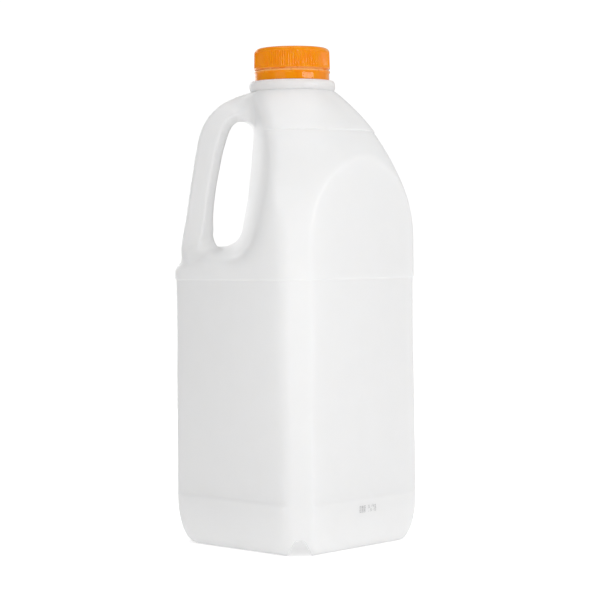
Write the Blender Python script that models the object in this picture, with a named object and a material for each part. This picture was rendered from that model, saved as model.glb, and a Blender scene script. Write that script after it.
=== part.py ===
"""Square two-litre milk bottle: a blow-moulded body with a corner handle, and its screw cap.

The bottle stands on its feet with its axis on +Z. Its four corners lie on the X and Y axes,
its four flat faces between them, and the handle is at the -X corner, in the plane y = 0,
which is also the plane where the two halves of the mould meet.

A level section of the body is a square cut by a circle. The square sets the faces and the
circle sets the narrow corner facets. Where the shoulder closes in, the circle becomes smaller
than the square, so each face ends in an arch and everything above it is round.
"""

import math

import bpy
import bmesh
from mathutils import Vector

MM = 0.001

# ---- heights, from the feet up ----
BASE_EDGE_HEIGHT = 25.0 * MM         # the rounded edge between the underside and the walls
LOWER_LEDGE = 27.5 * MM              # the label zone starts here, slightly set back
WAIST_HEIGHT = 113.0 * MM            # its corners stand back most here
MIDDLE_LEDGE = 142.7 * MM            # and it ends here
GRIP_RIM = 147.0 * MM                # the handle's corner starts to lean in
GRIP_FLOOR = 152.4 * MM              # floor of the grip recess, where it meets the faces
SHOULDER_START = 164.1 * MM
UPPER_LEDGE = 220.8 * MM             # the round cone above it stands slightly proud
CONE_TOP = 242.9 * MM
COLLAR_BASE = 243.3 * MM
COLLAR_TOP = 248.7 * MM
NECK_TOP = 263.6 * MM
LEDGE_SLOPE = 0.8 * MM               # height over which each ledge steps out

# ---- the body's section ----
HALF_WIDTH = 50.8 * MM               # axis to face
CORNER_RADIUS = 64.6 * MM            # axis to corner facet
LEDGE_DEPTH = 0.45 * MM              # how far the label zone's faces stand back
CORNER_WAIST = (                     # (height, how far its corners stand back)
    (LOWER_LEDGE, 0.05 * MM),
    (50.0 * MM, 0.1 * MM),
    (95.0 * MM, 0.55 * MM),
    (WAIST_HEIGHT, 0.8 * MM),
    (MIDDLE_LEDGE, 0.6 * MM),
)
CONE_STEP = 0.8 * MM
CROWN = 1.8 * MM                     # how far the middle of a face bulges
CROWN_REACH = 40.0 * MM              # the bulge ends this far from the middle
CROWN_RISE = (27.5 * MM, 110.0 * MM)  # it starts and is full at these heights
FOOT_HALF_WIDTH = 42.4 * MM          # half width and corner radius at the floor
FOOT_CORNER_RADIUS = 54.6 * MM
GRIP_CORNER_RADIUS = 61.6 * MM       # the handle's corner at the grip floor

# ---- the shoulder, two arcs and the cone's arc, each starting where the last ends ----
LOWER_ARC_RADIUS = 77.2 * MM
UPPER_ARC_RADIUS = 149.7 * MM
ARC_CHANGE_LEAN = math.radians(23.06)
CONE_ARC_RADIUS = 124.2 * MM
CONE_START_LEAN = math.radians(36.7)

COLLAR_RADIUS = 23.3 * MM
COLLAR_ROUNDING = 1.2 * MM
NECK_RADIUS = 17.8 * MM

# ---- the grip recess, a cut through the body behind the handle ----
HOLE_RIGHT = (                       # (height, x) of the recess wall in the plane y = 0
    (174.0 * MM, -27.0 * MM),
    (186.0 * MM, -24.8 * MM),
    (201.0 * MM, -23.0 * MM),
    (217.0 * MM, -21.4 * MM),
    (232.0 * MM, -21.6 * MM),
    (243.1 * MM, -22.9 * MM),
)
HOLE_FLOOR = 160.2 * MM              # its floor in that plane
FLOOR_DROP = 0.24                    # how the floor falls towards each face
FLOOR_RIDGE = 4.0 * MM               # half width over which the floor's ridge is rounded
WALL_OPENING_LOW = 9.0 * MM          # how far the wall opens towards each face, low and high up
WALL_OPENING_HIGH = 10.6 * MM
WALL_OPENING_DEPTH = 52.0 * MM
WALL_CHANGE = (180.0 * MM, 205.0 * MM)
WALL_ROWS = 10
CORNER_REACH = 9.0 * MM              # length of the rounded corner along the floor
CORNER_GROWTH = 0.06
CORNER_STEPS = 6
FLOOR_FALL_START = -46.0 * MM        # x where the floor starts to fall to the handle's corner
FLOOR_FALL_END = -58.0 * MM
RECESS_DEPTHS = tuple(depth * MM for depth in (0.0, 3.0, 7.0, 13.0, 22.0, 34.0, 48.0, 66.0))
OUTSIDE = 84.0 * MM

# ---- the handle, as pairs of (x, height): outer edge, inner edge ----
HANDLE_STATIONS = (
    ((-61.6, 144.0), (-34.0, 148.0)),
    ((-62.0, 152.5), (-35.0, 156.6)),
    ((-61.3, 157.5), (-41.4, 163.0)),
    ((-60.4, 164.5), (-43.7, 169.5)),
    ((-58.3, 175.6), (-43.6, 178.5)),
    ((-56.0, 190.3), (-42.2, 190.3)),
    ((-54.2, 201.2), (-40.1, 201.2)),
    ((-52.4, 211.4), (-37.9, 211.4)),
    ((-50.4, 220.4), (-35.4, 219.6)),
    ((-46.8, 228.4), (-33.2, 224.6)),
    ((-40.6, 235.2), (-30.9, 226.9)),
    ((-33.2, 239.6), (-28.2, 227.7)),
    ((-25.9, 242.3), (-23.6, 224.8)),
    ((-18.0, 242.8), (-16.0, 216.0)),
)
HANDLE_STEPS = 3                     # sections between two stations
EDGE_HALF_WIDTH = 3.0 * MM           # the section's outer edge
RIDGE_HALF_WIDTH = 11.0 * MM         # the ridges, where it is widest
INNER_HALF_WIDTH = 6.5 * MM          # the side that faces the hole
RIDGE_SHARE = 0.71                   # place of the ridges between the two edges
RIDGE_FARTHEST = 11.0 * MM
SECTION_ROUNDS = (2.6 * MM, 2.2 * MM, 2.2 * MM)
SECTION_ROUND_STEPS = 3
FLARE = 0.4                          # how much wider the handle's foot is
FLARE_STATIONS = 3.0                 # and how far up the flare goes

# ---- the underside ----
CHANNEL_HALF_WIDTH = 7.5 * MM        # a channel leaves under each corner
CHANNEL_TOP_HALF_WIDTH = 2.2 * MM
CHANNEL_HEIGHT = 8.6 * MM
CUTTER_DEPTH = 20.0 * MM             # how far the underside's cutters go down
DISH_STEPS = 48
DISH_PROFILE = (                     # (radius, height) of the raised middle
    (31.0 * MM, 0.0 * MM),
    (29.0 * MM, 3.1 * MM),
    (25.0 * MM, 5.2 * MM),
)

# ---- the cap ----
GAP = 0.3 * MM                       # between the cap and the bottle
CAP_RADIUS = 20.5 * MM
CAP_BASE = COLLAR_TOP + GAP
CAP_TOP = 266.5 * MM
CAP_EDGE = 2.0 * MM
CAP_BAND_RADIUS = 20.1 * MM
BEAD_BASE = 253.2 * MM               # the bead on top of the tamper band
SLIT_BASE = 254.8 * MM               # the slit between the bead and the skirt
SLIT_TOP = 255.3 * MM
SLIT_RADIUS = 19.7 * MM
RIB_BASE = 255.8 * MM
RIB_DEPTH = 0.35 * MM
RIB_COUNT = 100
BRIDGE_COUNT = 8
CAP_CHAMFER = 0.4 * MM
SLIT_CHAMFER = 0.1 * MM
CAP_WALL_RADIUS = 18.4 * MM          # the cap's inside
CAP_CEILING = 264.6 * MM

FACE_PARTS = 6                       # sides of a section along a face, and round a corner facet
FACET_PARTS = 10
LEAST_FACE_ANGLE = math.radians(4.0)
WIDTH_PASSES = 5                     # a crowned face's width is found in a few passes
BASE_EDGE_ROWS = 6
SHOULDER_ROWS = 12
CONE_ROWS = 6

MILK_WHITE = (0.86, 0.86, 0.86, 1.0)
CAP_ORANGE = (1.0, 0.3, 0.0, 1.0)
MILK_ROUGHNESS = 0.35
CAP_ROUGHNESS = 0.3
BODY_EDGE_ANGLE = 28.0               # degrees; sharper edges stay edges when shaded smooth
CAP_EDGE_ANGLE = 25.0


def clear_scene():
    """Remove whatever the scene holds."""
    for thing in list(bpy.data.objects):
        bpy.data.objects.remove(thing, do_unlink=True)


def plastic(name, colour, roughness):
    """Make a plain plastic material."""
    material = bpy.data.materials.new(name)
    material.use_nodes = True
    shader = material.node_tree.nodes["Principled BSDF"]
    shader.inputs["Base Color"].default_value = colour
    shader.inputs["Roughness"].default_value = roughness
    shader.inputs["Metallic"].default_value = 0.0
    material.diffuse_color = colour
    return material


def loft(name, rings):
    """Join closed rings of equally many points into a closed solid, its ends flat."""
    mesh = bpy.data.meshes.new(name)
    work = bmesh.new()
    loops = [[work.verts.new(point) for point in ring] for ring in rings]
    count = len(loops[0])
    for lower, upper in zip(loops, loops[1:]):
        for index in range(count):
            after = (index + 1) % count
            work.faces.new((lower[index], lower[after], upper[after], upper[index]))
    work.faces.new(list(reversed(loops[0])))
    work.faces.new(loops[-1])
    bmesh.ops.recalc_face_normals(work, faces=work.faces)
    work.to_mesh(mesh)
    work.free()
    thing = bpy.data.objects.new(name, mesh)
    bpy.context.scene.collection.objects.link(thing)
    return thing


def smooth(thing, angle):
    """Shade a piece smooth, keeping the edges sharper than the angle."""
    thing.data.shade_smooth()
    thing.data.set_sharp_from_angle(angle=math.radians(angle))


def combine(target, tool, operation):
    """Cut a piece with a tool, or fuse the tool to it, and hide the tool."""
    boolean = target.modifiers.new(tool.name, "BOOLEAN")
    boolean.operation = operation
    boolean.solver = "EXACT"
    boolean.object = tool
    tool.hide_render = True
    tool.display_type = "WIRE"


# ---------------------------------------------------------------- the body

def share_between(value, low, high):
    """Where a value lies between two others, from 0 at the low one to 1 at the high one."""
    return min(1.0, max(0.0, (value - low) / (high - low)))


def along_table(table, value):
    """Read a table of (value, result), in rising order, straight between its rows."""
    low = table[0]
    for high in table[1:]:
        if value <= high[0]:
            return low[1] + (high[1] - low[1]) * share_between(value, low[0], high[0])
        low = high
    return low[1]


def ledge(height, level):
    """0 below a ledge and 1 above it."""
    return share_between(height, level - LEDGE_SLOPE / 2, level + LEDGE_SLOPE / 2)


def label_zone(height):
    """1 between the lower and the middle ledge, and 0 elsewhere."""
    return ledge(height, LOWER_LEDGE) - ledge(height, MIDDLE_LEDGE)


def base_edge(height):
    """How far the rounded base edge has come in: 0 above it and 1 at the floor."""
    rise = 1.0 - min(height / BASE_EDGE_HEIGHT, 1.0)
    return 1.0 - math.sqrt(1.0 - rise * rise)


def arc_drop(radius, lean_start, climb):
    """How far an arc comes in over a climb."""
    lean_end = math.asin(math.sin(lean_start) + climb / radius)
    return radius * (math.cos(lean_start) - math.cos(lean_end))


def shoulder(height):
    """How far the shoulder and the cone have come in."""
    change = SHOULDER_START + LOWER_ARC_RADIUS * math.sin(ARC_CHANGE_LEAN)
    climb = max(0.0, min(height, change) - SHOULDER_START)
    drop = arc_drop(LOWER_ARC_RADIUS, 0.0, climb)
    climb = max(0.0, min(height, UPPER_LEDGE) - change)
    drop += arc_drop(UPPER_ARC_RADIUS, ARC_CHANGE_LEAN, climb)
    drop += arc_drop(CONE_ARC_RADIUS, CONE_START_LEAN, max(0.0, height - UPPER_LEDGE))
    return drop - CONE_STEP * ledge(height, UPPER_LEDGE)


def corner_radius(height):
    """Distance from the axis to a corner facet, or to the round cone."""
    spread = CORNER_RADIUS - FOOT_CORNER_RADIUS
    waist = along_table(CORNER_WAIST, height) * label_zone(height)
    return CORNER_RADIUS - spread * base_edge(height) - waist - shoulder(height)


def half_width(height):
    """Distance from the axis to the edge of a face."""
    spread = HALF_WIDTH - FOOT_HALF_WIDTH
    return HALF_WIDTH - spread * base_edge(height) - LEDGE_DEPTH * label_zone(height)


def bulge(across, height):
    """How far a face stands out at a distance from its middle."""
    reach = min(abs(across) / CROWN_REACH, 1.0)
    return CROWN * share_between(height, *CROWN_RISE) * (1.0 - reach * reach)


def handle_corner_radius(height):
    """Distance from the axis to the handle's corner, which leans in towards the grip."""
    lean = share_between(height, GRIP_RIM, GRIP_FLOOR)
    return CORNER_RADIUS - (CORNER_RADIUS - GRIP_CORNER_RADIUS) * lean


def face_half_angle(height, corner, face):
    """Half the angle that a face takes up, seen from the axis."""
    across = math.sqrt(max(corner * corner - face * face, 0.0))
    out = face
    for _ in range(WIDTH_PASSES):
        out = face + bulge(across, height)
        across = math.sqrt(max(corner * corner - out * out, 0.0))
    return max(LEAST_FACE_ANGLE, math.atan2(across, out))


def section(height, corner, face):
    """Points of a level section: corner facets on a circle, joined by crowned faces."""
    half_face = face_half_angle(height, corner, face)
    half_facet = math.pi / 4 - half_face
    points = []
    for quarter in range(4):
        turn = quarter * math.pi / 2
        reach = corner
        if turn == math.pi:
            reach = min(corner, handle_corner_radius(height))
        for part in range(FACET_PARTS + 1):
            angle = turn - half_facet + 2 * half_facet * part / FACET_PARTS
            points.append(Vector((reach * math.cos(angle), reach * math.sin(angle), height)))
        for part in range(1, FACE_PARTS):
            slope = math.tan(half_face) * (2 * part / FACE_PARTS - 1)
            tilt = math.atan(slope)
            reach = min(corner, (face + bulge(face * slope, height)) / math.cos(tilt))
            angle = turn + math.pi / 4 + tilt
            points.append(Vector((reach * math.cos(angle), reach * math.sin(angle), height)))
    return points


def even_rows(start, end, count):
    """Heights from just past a start up to an end, evenly."""
    return [start + (end - start) * row / count for row in range(1, count + 1)]


def body_heights():
    """Heights of the body's sections, closer where the wall curves."""
    half = LEDGE_SLOPE / 2
    turns = [math.pi / 2 * row / BASE_EDGE_ROWS for row in range(BASE_EDGE_ROWS + 1)]
    rows = [BASE_EDGE_HEIGHT * (1.0 - math.cos(turn)) for turn in turns]
    rows += [LOWER_LEDGE - half, LOWER_LEDGE + half, WAIST_HEIGHT]
    rows += [MIDDLE_LEDGE - half, MIDDLE_LEDGE + half, GRIP_RIM, GRIP_FLOOR, SHOULDER_START]
    rows += even_rows(SHOULDER_START, UPPER_LEDGE - half, SHOULDER_ROWS)
    rows.append(UPPER_LEDGE + half)
    return rows + even_rows(UPPER_LEDGE + half, CONE_TOP, CONE_ROWS)


def ring(radius, height):
    """A round section with the same points as the body's sections."""
    return section(height, radius, radius)


def make_body():
    """The body, with its collar and the plain neck under the cap."""
    rings = [section(height, corner_radius(height), half_width(height)) for height in body_heights()]
    rings.append(ring(COLLAR_RADIUS - COLLAR_ROUNDING, COLLAR_BASE))
    for angle in (-45, 0):
        lift = COLLAR_ROUNDING * (1 + math.sin(math.radians(angle)))
        reach = COLLAR_ROUNDING * (math.cos(math.radians(angle)) - 1)
        rings.append(ring(COLLAR_RADIUS + reach, COLLAR_BASE + lift))
    for angle in (0, 45, 90):
        lift = COLLAR_ROUNDING * (math.sin(math.radians(angle)) - 1)
        reach = COLLAR_ROUNDING * (math.cos(math.radians(angle)) - 1)
        rings.append(ring(COLLAR_RADIUS + reach, COLLAR_TOP + lift))
    rings.append(ring(NECK_RADIUS, COLLAR_TOP))
    rings.append(ring(NECK_RADIUS, NECK_TOP))
    return loft("bottle", rings)


# ---------------------------------------------------------------- the grip

def wall_x(height, depth):
    """x of the recess wall at a distance from the plane y = 0.

    With u the share of the opening's depth, the wall has opened by its opening's (u + u^2) / 2.
    """
    change = share_between(height, *WALL_CHANGE)
    opening = WALL_OPENING_LOW + (WALL_OPENING_HIGH - WALL_OPENING_LOW) * change
    share = depth / WALL_OPENING_DEPTH
    return along_table(HOLE_RIGHT, height) + opening * (share + share * share) / 2


def recess_outline(side, depth):
    """Outline of the recess at one distance from the plane y = 0."""
    ridge = math.hypot(depth, FLOOR_RIDGE) - FLOOR_RIDGE
    floor = max(GRIP_FLOOR, HOLE_FLOOR - FLOOR_DROP * ridge)
    wall_base, wall_top = HOLE_RIGHT[0][0], HOLE_RIGHT[-1][0]
    points = [(-OUTSIDE, wall_top), (wall_x(wall_top, depth), wall_top)]
    heights = even_rows(wall_top, wall_base, WALL_ROWS)
    points += [(wall_x(height, depth), height) for height in heights[:-1]]
    reach = CORNER_REACH + CORNER_GROWTH * depth
    centre_x = wall_x(wall_base, depth) - reach
    for step in range(CORNER_STEPS + 1):
        angle = math.pi / 2 * step / CORNER_STEPS
        across = reach * math.cos(angle)
        down = (wall_base - floor) * math.sin(angle)
        points.append((centre_x + across, wall_base - down))
    points.append((FLOOR_FALL_START, floor))
    points.append((FLOOR_FALL_END, GRIP_FLOOR))
    points.append((-OUTSIDE, GRIP_FLOOR))
    return [Vector((x, side * depth, z)) for x, z in points]


def make_recess():
    """The cutter of the grip recess, from one side of the bottle to the other."""
    near = [recess_outline(-1, depth) for depth in reversed(RECESS_DEPTHS)]
    far = [recess_outline(1, depth) for depth in RECESS_DEPTHS[1:]]
    return loft("grip_recess", near + far)


def station_point(stations, place):
    """A point on a smooth curve through the stations (Catmull-Rom)."""
    last = len(stations) - 1
    start = min(int(place), last - 1)
    share = place - start
    before = stations[max(start - 1, 0)]
    first = stations[start]
    second = stations[start + 1]
    after = stations[min(start + 2, last)]
    return 0.5 * (
        2 * first
        + (second - before) * share
        + (2 * before - 5 * first + 4 * second - after) * share ** 2
        + (3 * first - before - 3 * second + after) * share ** 3
    )


def rounded(before, corner, after, cut):
    """Points that round off a corner, from one cut's length before it to one after it."""
    start = corner + (before - corner).normalized() * cut
    end = corner + (after - corner).normalized() * cut
    points = []
    for step in range(SECTION_ROUND_STEPS + 1):
        t = step / SECTION_ROUND_STEPS
        points.append(start * (1 - t) ** 2 + corner * (2 * t * (1 - t)) + end * t ** 2)
    return points


def handle_section(outer, inner, widening):
    """A section between the handle's two edges.

    A flank slants out from the narrow outer edge to a ridge on each side, and a shorter one
    slants back in to the side that faces the hole.
    """
    reach = (inner - outer).length
    way = (inner - outer).normalized()
    ridge = min(RIDGE_SHARE * reach, RIDGE_FARTHEST)
    corners = [
        Vector((0.0, 0.0)),
        Vector((0.0, EDGE_HALF_WIDTH)),
        Vector((ridge, RIDGE_HALF_WIDTH)),
        Vector((reach, INNER_HALF_WIDTH)),
        Vector((reach, 0.0)),
    ]
    half = []
    for index, cut in enumerate(SECTION_ROUNDS):
        half += rounded(corners[index], corners[index + 1], corners[index + 2], cut)
    points = [outer + way * inwards + Vector((0, widening * across, 0)) for inwards, across in half]
    mirrored = [Vector((point.x, -point.y, point.z)) for point in reversed(points)]
    return points + mirrored


def make_handle():
    """The handle, from inside the body below the grip to inside the cone."""
    outer = [Vector((x * MM, 0, z * MM)) for (x, z), _ in HANDLE_STATIONS]
    inner = [Vector((x * MM, 0, z * MM)) for _, (x, z) in HANDLE_STATIONS]
    rings = []
    for step in range((len(outer) - 1) * HANDLE_STEPS + 1):
        place = step / HANDLE_STEPS
        widening = 1.0 + FLARE * max(0.0, 1.0 - place / FLARE_STATIONS) ** 2
        outer_point = station_point(outer, place)
        inner_point = station_point(inner, place)
        rings.append(handle_section(outer_point, inner_point, widening))
    return loft("handle", rings)


# ---------------------------------------------------------------- the underside

def make_channel(name, turn):
    """A channel right across the underside, out under two corners."""
    outline = [
        (CHANNEL_HALF_WIDTH, 0.0),
        (CHANNEL_TOP_HALF_WIDTH, CHANNEL_HEIGHT),
        (-CHANNEL_TOP_HALF_WIDTH, CHANNEL_HEIGHT),
        (-CHANNEL_HALF_WIDTH, 0.0),
        (-CHANNEL_HALF_WIDTH, -CUTTER_DEPTH),
        (CHANNEL_HALF_WIDTH, -CUTTER_DEPTH),
    ]
    rings = [[Vector((end, across, up)) for across, up in outline] for end in (-OUTSIDE, OUTSIDE)]
    channel = loft(name, rings)
    channel.rotation_euler.z = turn
    return channel


def make_dish():
    """The raised middle of the underside."""
    rings = []
    for radius, height in ((DISH_PROFILE[0][0], -CUTTER_DEPTH),) + DISH_PROFILE:
        angles = [2 * math.pi * step / DISH_STEPS for step in range(DISH_STEPS)]
        rings.append([Vector((radius * math.cos(a), radius * math.sin(a), height)) for a in angles])
    return loft("base_dish", rings)


# ---------------------------------------------------------------- the cap

def cap_ring(radius, height, valley=0.0, bridges=0.0):
    """A round section of the cap, with ribs and bridges where a depth is given for them."""
    count = 2 * RIB_COUNT
    per_bridge = count // BRIDGE_COUNT
    points = []
    for step in range(count):
        angle = 2 * math.pi * (step + 0.5) / count
        reach = radius
        if step % 2:
            reach -= valley
        if step % per_bridge in (0, 1):
            reach += bridges
        points.append(Vector((reach * math.cos(angle), reach * math.sin(angle), height)))
    return points


def make_cap():
    """The cap: ribbed skirt, slit crossed by bridges, bead and tamper band, in one moulding."""
    bridge = CAP_RADIUS - SLIT_RADIUS - SLIT_CHAMFER
    rings = [
        cap_ring(CAP_WALL_RADIUS, CAP_CEILING),
        cap_ring(CAP_WALL_RADIUS, CAP_BASE),
        cap_ring(CAP_BAND_RADIUS - CAP_CHAMFER, CAP_BASE),
        cap_ring(CAP_BAND_RADIUS, CAP_BASE + CAP_CHAMFER),
        cap_ring(CAP_BAND_RADIUS, BEAD_BASE),
        cap_ring(CAP_RADIUS, BEAD_BASE + CAP_CHAMFER),
        cap_ring(CAP_RADIUS, SLIT_BASE),
        cap_ring(SLIT_RADIUS, SLIT_BASE + SLIT_CHAMFER, bridges=bridge),
        cap_ring(SLIT_RADIUS, SLIT_TOP - SLIT_CHAMFER, bridges=bridge),
        cap_ring(CAP_RADIUS, SLIT_TOP),
        cap_ring(CAP_RADIUS, RIB_BASE, valley=RIB_DEPTH),
    ]
    edge_centre = CAP_TOP - CAP_EDGE
    for angle in (0, 30, 60, 90):
        reach = CAP_RADIUS - CAP_EDGE + CAP_EDGE * math.cos(math.radians(angle))
        height = edge_centre + CAP_EDGE * math.sin(math.radians(angle))
        rings.append(cap_ring(reach, height, valley=RIB_DEPTH if angle == 0 else 0.0))
    return loft("cap", rings)


def main():
    """Model the bottle and its cap."""
    clear_scene()
    body = make_body()
    body.data.materials.append(plastic("milky_plastic", MILK_WHITE, MILK_ROUGHNESS))
    combine(body, make_recess(), "DIFFERENCE")
    combine(body, make_handle(), "UNION")
    combine(body, make_channel("channel_x", 0.0), "DIFFERENCE")
    combine(body, make_channel("channel_y", math.pi / 2), "DIFFERENCE")
    combine(body, make_dish(), "DIFFERENCE")
    smooth(body, BODY_EDGE_ANGLE)
    cap = make_cap()
    cap.data.materials.append(plastic("orange_plastic", CAP_ORANGE, CAP_ROUGHNESS))
    smooth(cap, CAP_EDGE_ANGLE)


main()
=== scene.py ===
"""Square milk bottle: the milky moulded body with its corner handle, and the orange screw cap.

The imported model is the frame. This script replaces its two plain solids with fine surfaces,
gives each its finish, prints a plain date code, and sets the floor, lamps and camera.
Shapes are worked out in millimetres, with the bottle's axis on +Z, its corners on the X and Y
axes and the handle at the -X corner, and are put into meshes in metres.
"""

import logging
import math
from collections.abc import Sequence
from dataclasses import dataclass, field
from enum import Enum

import bpy
import numpy as np
from mathutils import Matrix, Vector


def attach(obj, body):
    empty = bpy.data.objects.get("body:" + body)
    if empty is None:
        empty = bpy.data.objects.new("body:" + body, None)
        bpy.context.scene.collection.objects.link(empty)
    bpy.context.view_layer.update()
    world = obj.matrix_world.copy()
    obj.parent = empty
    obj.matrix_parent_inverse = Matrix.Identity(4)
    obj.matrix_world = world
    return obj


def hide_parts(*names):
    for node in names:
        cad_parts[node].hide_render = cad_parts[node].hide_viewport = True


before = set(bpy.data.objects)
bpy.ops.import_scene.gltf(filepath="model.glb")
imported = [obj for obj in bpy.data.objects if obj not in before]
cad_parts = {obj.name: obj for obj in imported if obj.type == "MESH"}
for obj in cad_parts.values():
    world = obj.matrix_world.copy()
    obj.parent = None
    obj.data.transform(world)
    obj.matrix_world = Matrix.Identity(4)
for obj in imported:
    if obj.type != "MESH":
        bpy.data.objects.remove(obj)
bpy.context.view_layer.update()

Colour = tuple[float, float, float, float]
Range = tuple[float, float]
Pairs = tuple[tuple[float, float], ...]
Stops = Sequence[tuple[float, int]]
Socket = bpy.types.NodeSocket

MM = 0.001
ROOT_TWO = math.sqrt(2.0)
LOG = logging.getLogger("bottle")


class Slot(Enum):
    """The record's material slots."""

    BODY = "milky_plastic"
    CAP = "orange_plastic"


class Reach(Enum):
    """What a column of the body's grid follows on its way up."""

    PLAIN = 0        # the edge between a corner facet and a face
    RECESS = 1       # the same edge, and then the rim of the grip recess
    HANDLE = 2       # the edge of the handle's corner, and then the handle's roots


# ---------------------------------------------------------------- small mathematics

def smooth_step(value: np.ndarray, low: float, high: float) -> np.ndarray:
    """Rise from 0 at low to 1 at high along the cubic 3t^2 - 2t^3.

    Args:
        value: Where to evaluate it.
        low: Start of the rise.
        high: End of the rise.

    Returns:
        Values from 0 to 1.
    """
    share = np.clip((value - low) / (high - low), 0.0, 1.0)
    return share * share * (3.0 - 2.0 * share)


def soft_max(first: np.ndarray, second: np.ndarray, width: float) -> np.ndarray:
    """Take the larger of two fields, rounded off where they are closer than width.

    The larger value is raised by (width - gap)^2 / (4 width) where the gap is under width.

    Args:
        first: One field.
        second: The other field.
        width: The gap at which the rounding starts.

    Returns:
        The blended field.
    """
    near = np.maximum(width - np.abs(first - second), 0.0)
    return np.maximum(first, second) + near * near / (4.0 * width)


def catmull_rom(points: np.ndarray, place: np.ndarray) -> np.ndarray:
    """Read a smooth cubic curve that passes through every point.

    Args:
        points: The points, one a row.
        place: Positions along the curve, 0 at the first point and 1 at the second.

    Returns:
        One point for each place.
    """
    last = len(points) - 1
    start = np.clip(place.astype(int), 0, last - 1)
    share = (place - start)[:, None]
    before = points[np.maximum(start - 1, 0)]
    first = points[start]
    second = points[start + 1]
    after = points[np.minimum(start + 2, last)]
    return 0.5 * (
        2.0 * first
        + (second - before) * share
        + (2.0 * before - 5.0 * first + 4.0 * second - after) * share ** 2
        + (3.0 * first - before - 3.0 * second + after) * share ** 3
    )


def crowded(count: int, crowding: float) -> np.ndarray:
    """Spread positions from 0 up to, but not including, 1, closer together at both ends.

    Each is a mix of the even share u and of (1 - cos(pi u)) / 2.

    Args:
        count: How many positions.
        crowding: 0 for an even spread and 1 for the cosine's.

    Returns:
        The positions.
    """
    share = np.arange(count) / count
    return (1.0 - crowding) * share + crowding * 0.5 * (1.0 - np.cos(np.pi * share))


def unit(ways: np.ndarray) -> np.ndarray:
    """Directions of length one."""
    return ways / np.linalg.norm(ways, axis=-1, keepdims=True)


def steps_between(stops: Stops) -> np.ndarray:
    """Run through stops, with the given number of even steps up to each one.

    Args:
        stops: (value, steps from the stop before), the first with no steps.

    Returns:
        All the values, the stops among them.
    """
    runs = [np.array([stops[0][0]])]
    for (start, _), (end, count) in zip(stops, stops[1:]):
        runs.append(start + (end - start) * np.arange(1, count + 1) / count)
    return np.concatenate(runs)


# ---------------------------------------------------------------- meshes

def make_piece(name: str, points: np.ndarray, faces: list[np.ndarray]) -> bpy.types.Object:
    """Make a smooth-shaded mesh object at the origin.

    Args:
        name: The object's name.
        points: The vertices in millimetres, one a row.
        faces: Arrays of faces, each with one face a row.

    Returns:
        The object, linked to the scene.
    """
    mesh = bpy.data.meshes.new(name)
    sizes = np.concatenate([np.full(len(group), group.shape[1]) for group in faces])
    corners = np.concatenate([group.ravel() for group in faces])
    mesh.vertices.add(len(points))
    mesh.vertices.foreach_set("co", (points * MM).astype(np.float32).ravel())
    mesh.loops.add(len(corners))
    mesh.loops.foreach_set("vertex_index", corners.astype(np.int32))
    mesh.polygons.add(len(sizes))
    starts = np.concatenate([[0], np.cumsum(sizes)[:-1]])
    mesh.polygons.foreach_set("loop_start", starts.astype(np.int32))
    mesh.update(calc_edges=True)
    mesh.validate()
    mesh.shade_smooth()
    piece = bpy.data.objects.new(name, mesh)
    bpy.context.scene.collection.objects.link(piece)
    return piece


def ring_faces(rows: int, columns: int) -> np.ndarray:
    """Quads between closed rings, facing out where the rings run anticlockwise upwards.

    Args:
        rows: How many rings.
        columns: Vertices in each ring.

    Returns:
        The faces, shaped (rows - 1, columns, 4).
    """
    row = np.arange(rows - 1)[:, None] * columns
    here = np.arange(columns)[None, :]
    after = (here + 1) % columns
    return np.stack([row + here, row + after, row + columns + after, row + columns + here], -1)


def fan_faces(ring: np.ndarray, centre: int, upwards: bool) -> np.ndarray:
    """Triangles that close a ring with a middle vertex.

    Args:
        ring: The ring's vertices, anticlockwise seen from above.
        centre: The middle vertex.
        upwards: Whether the triangles face up.

    Returns:
        The faces, one a row.
    """
    after = np.roll(ring, -1)
    middle = np.full(len(ring), centre)
    order = (ring, after, middle) if upwards else (after, ring, middle)
    return np.stack(order, 1)


# ---------------------------------------------------------------- the body's form

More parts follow.
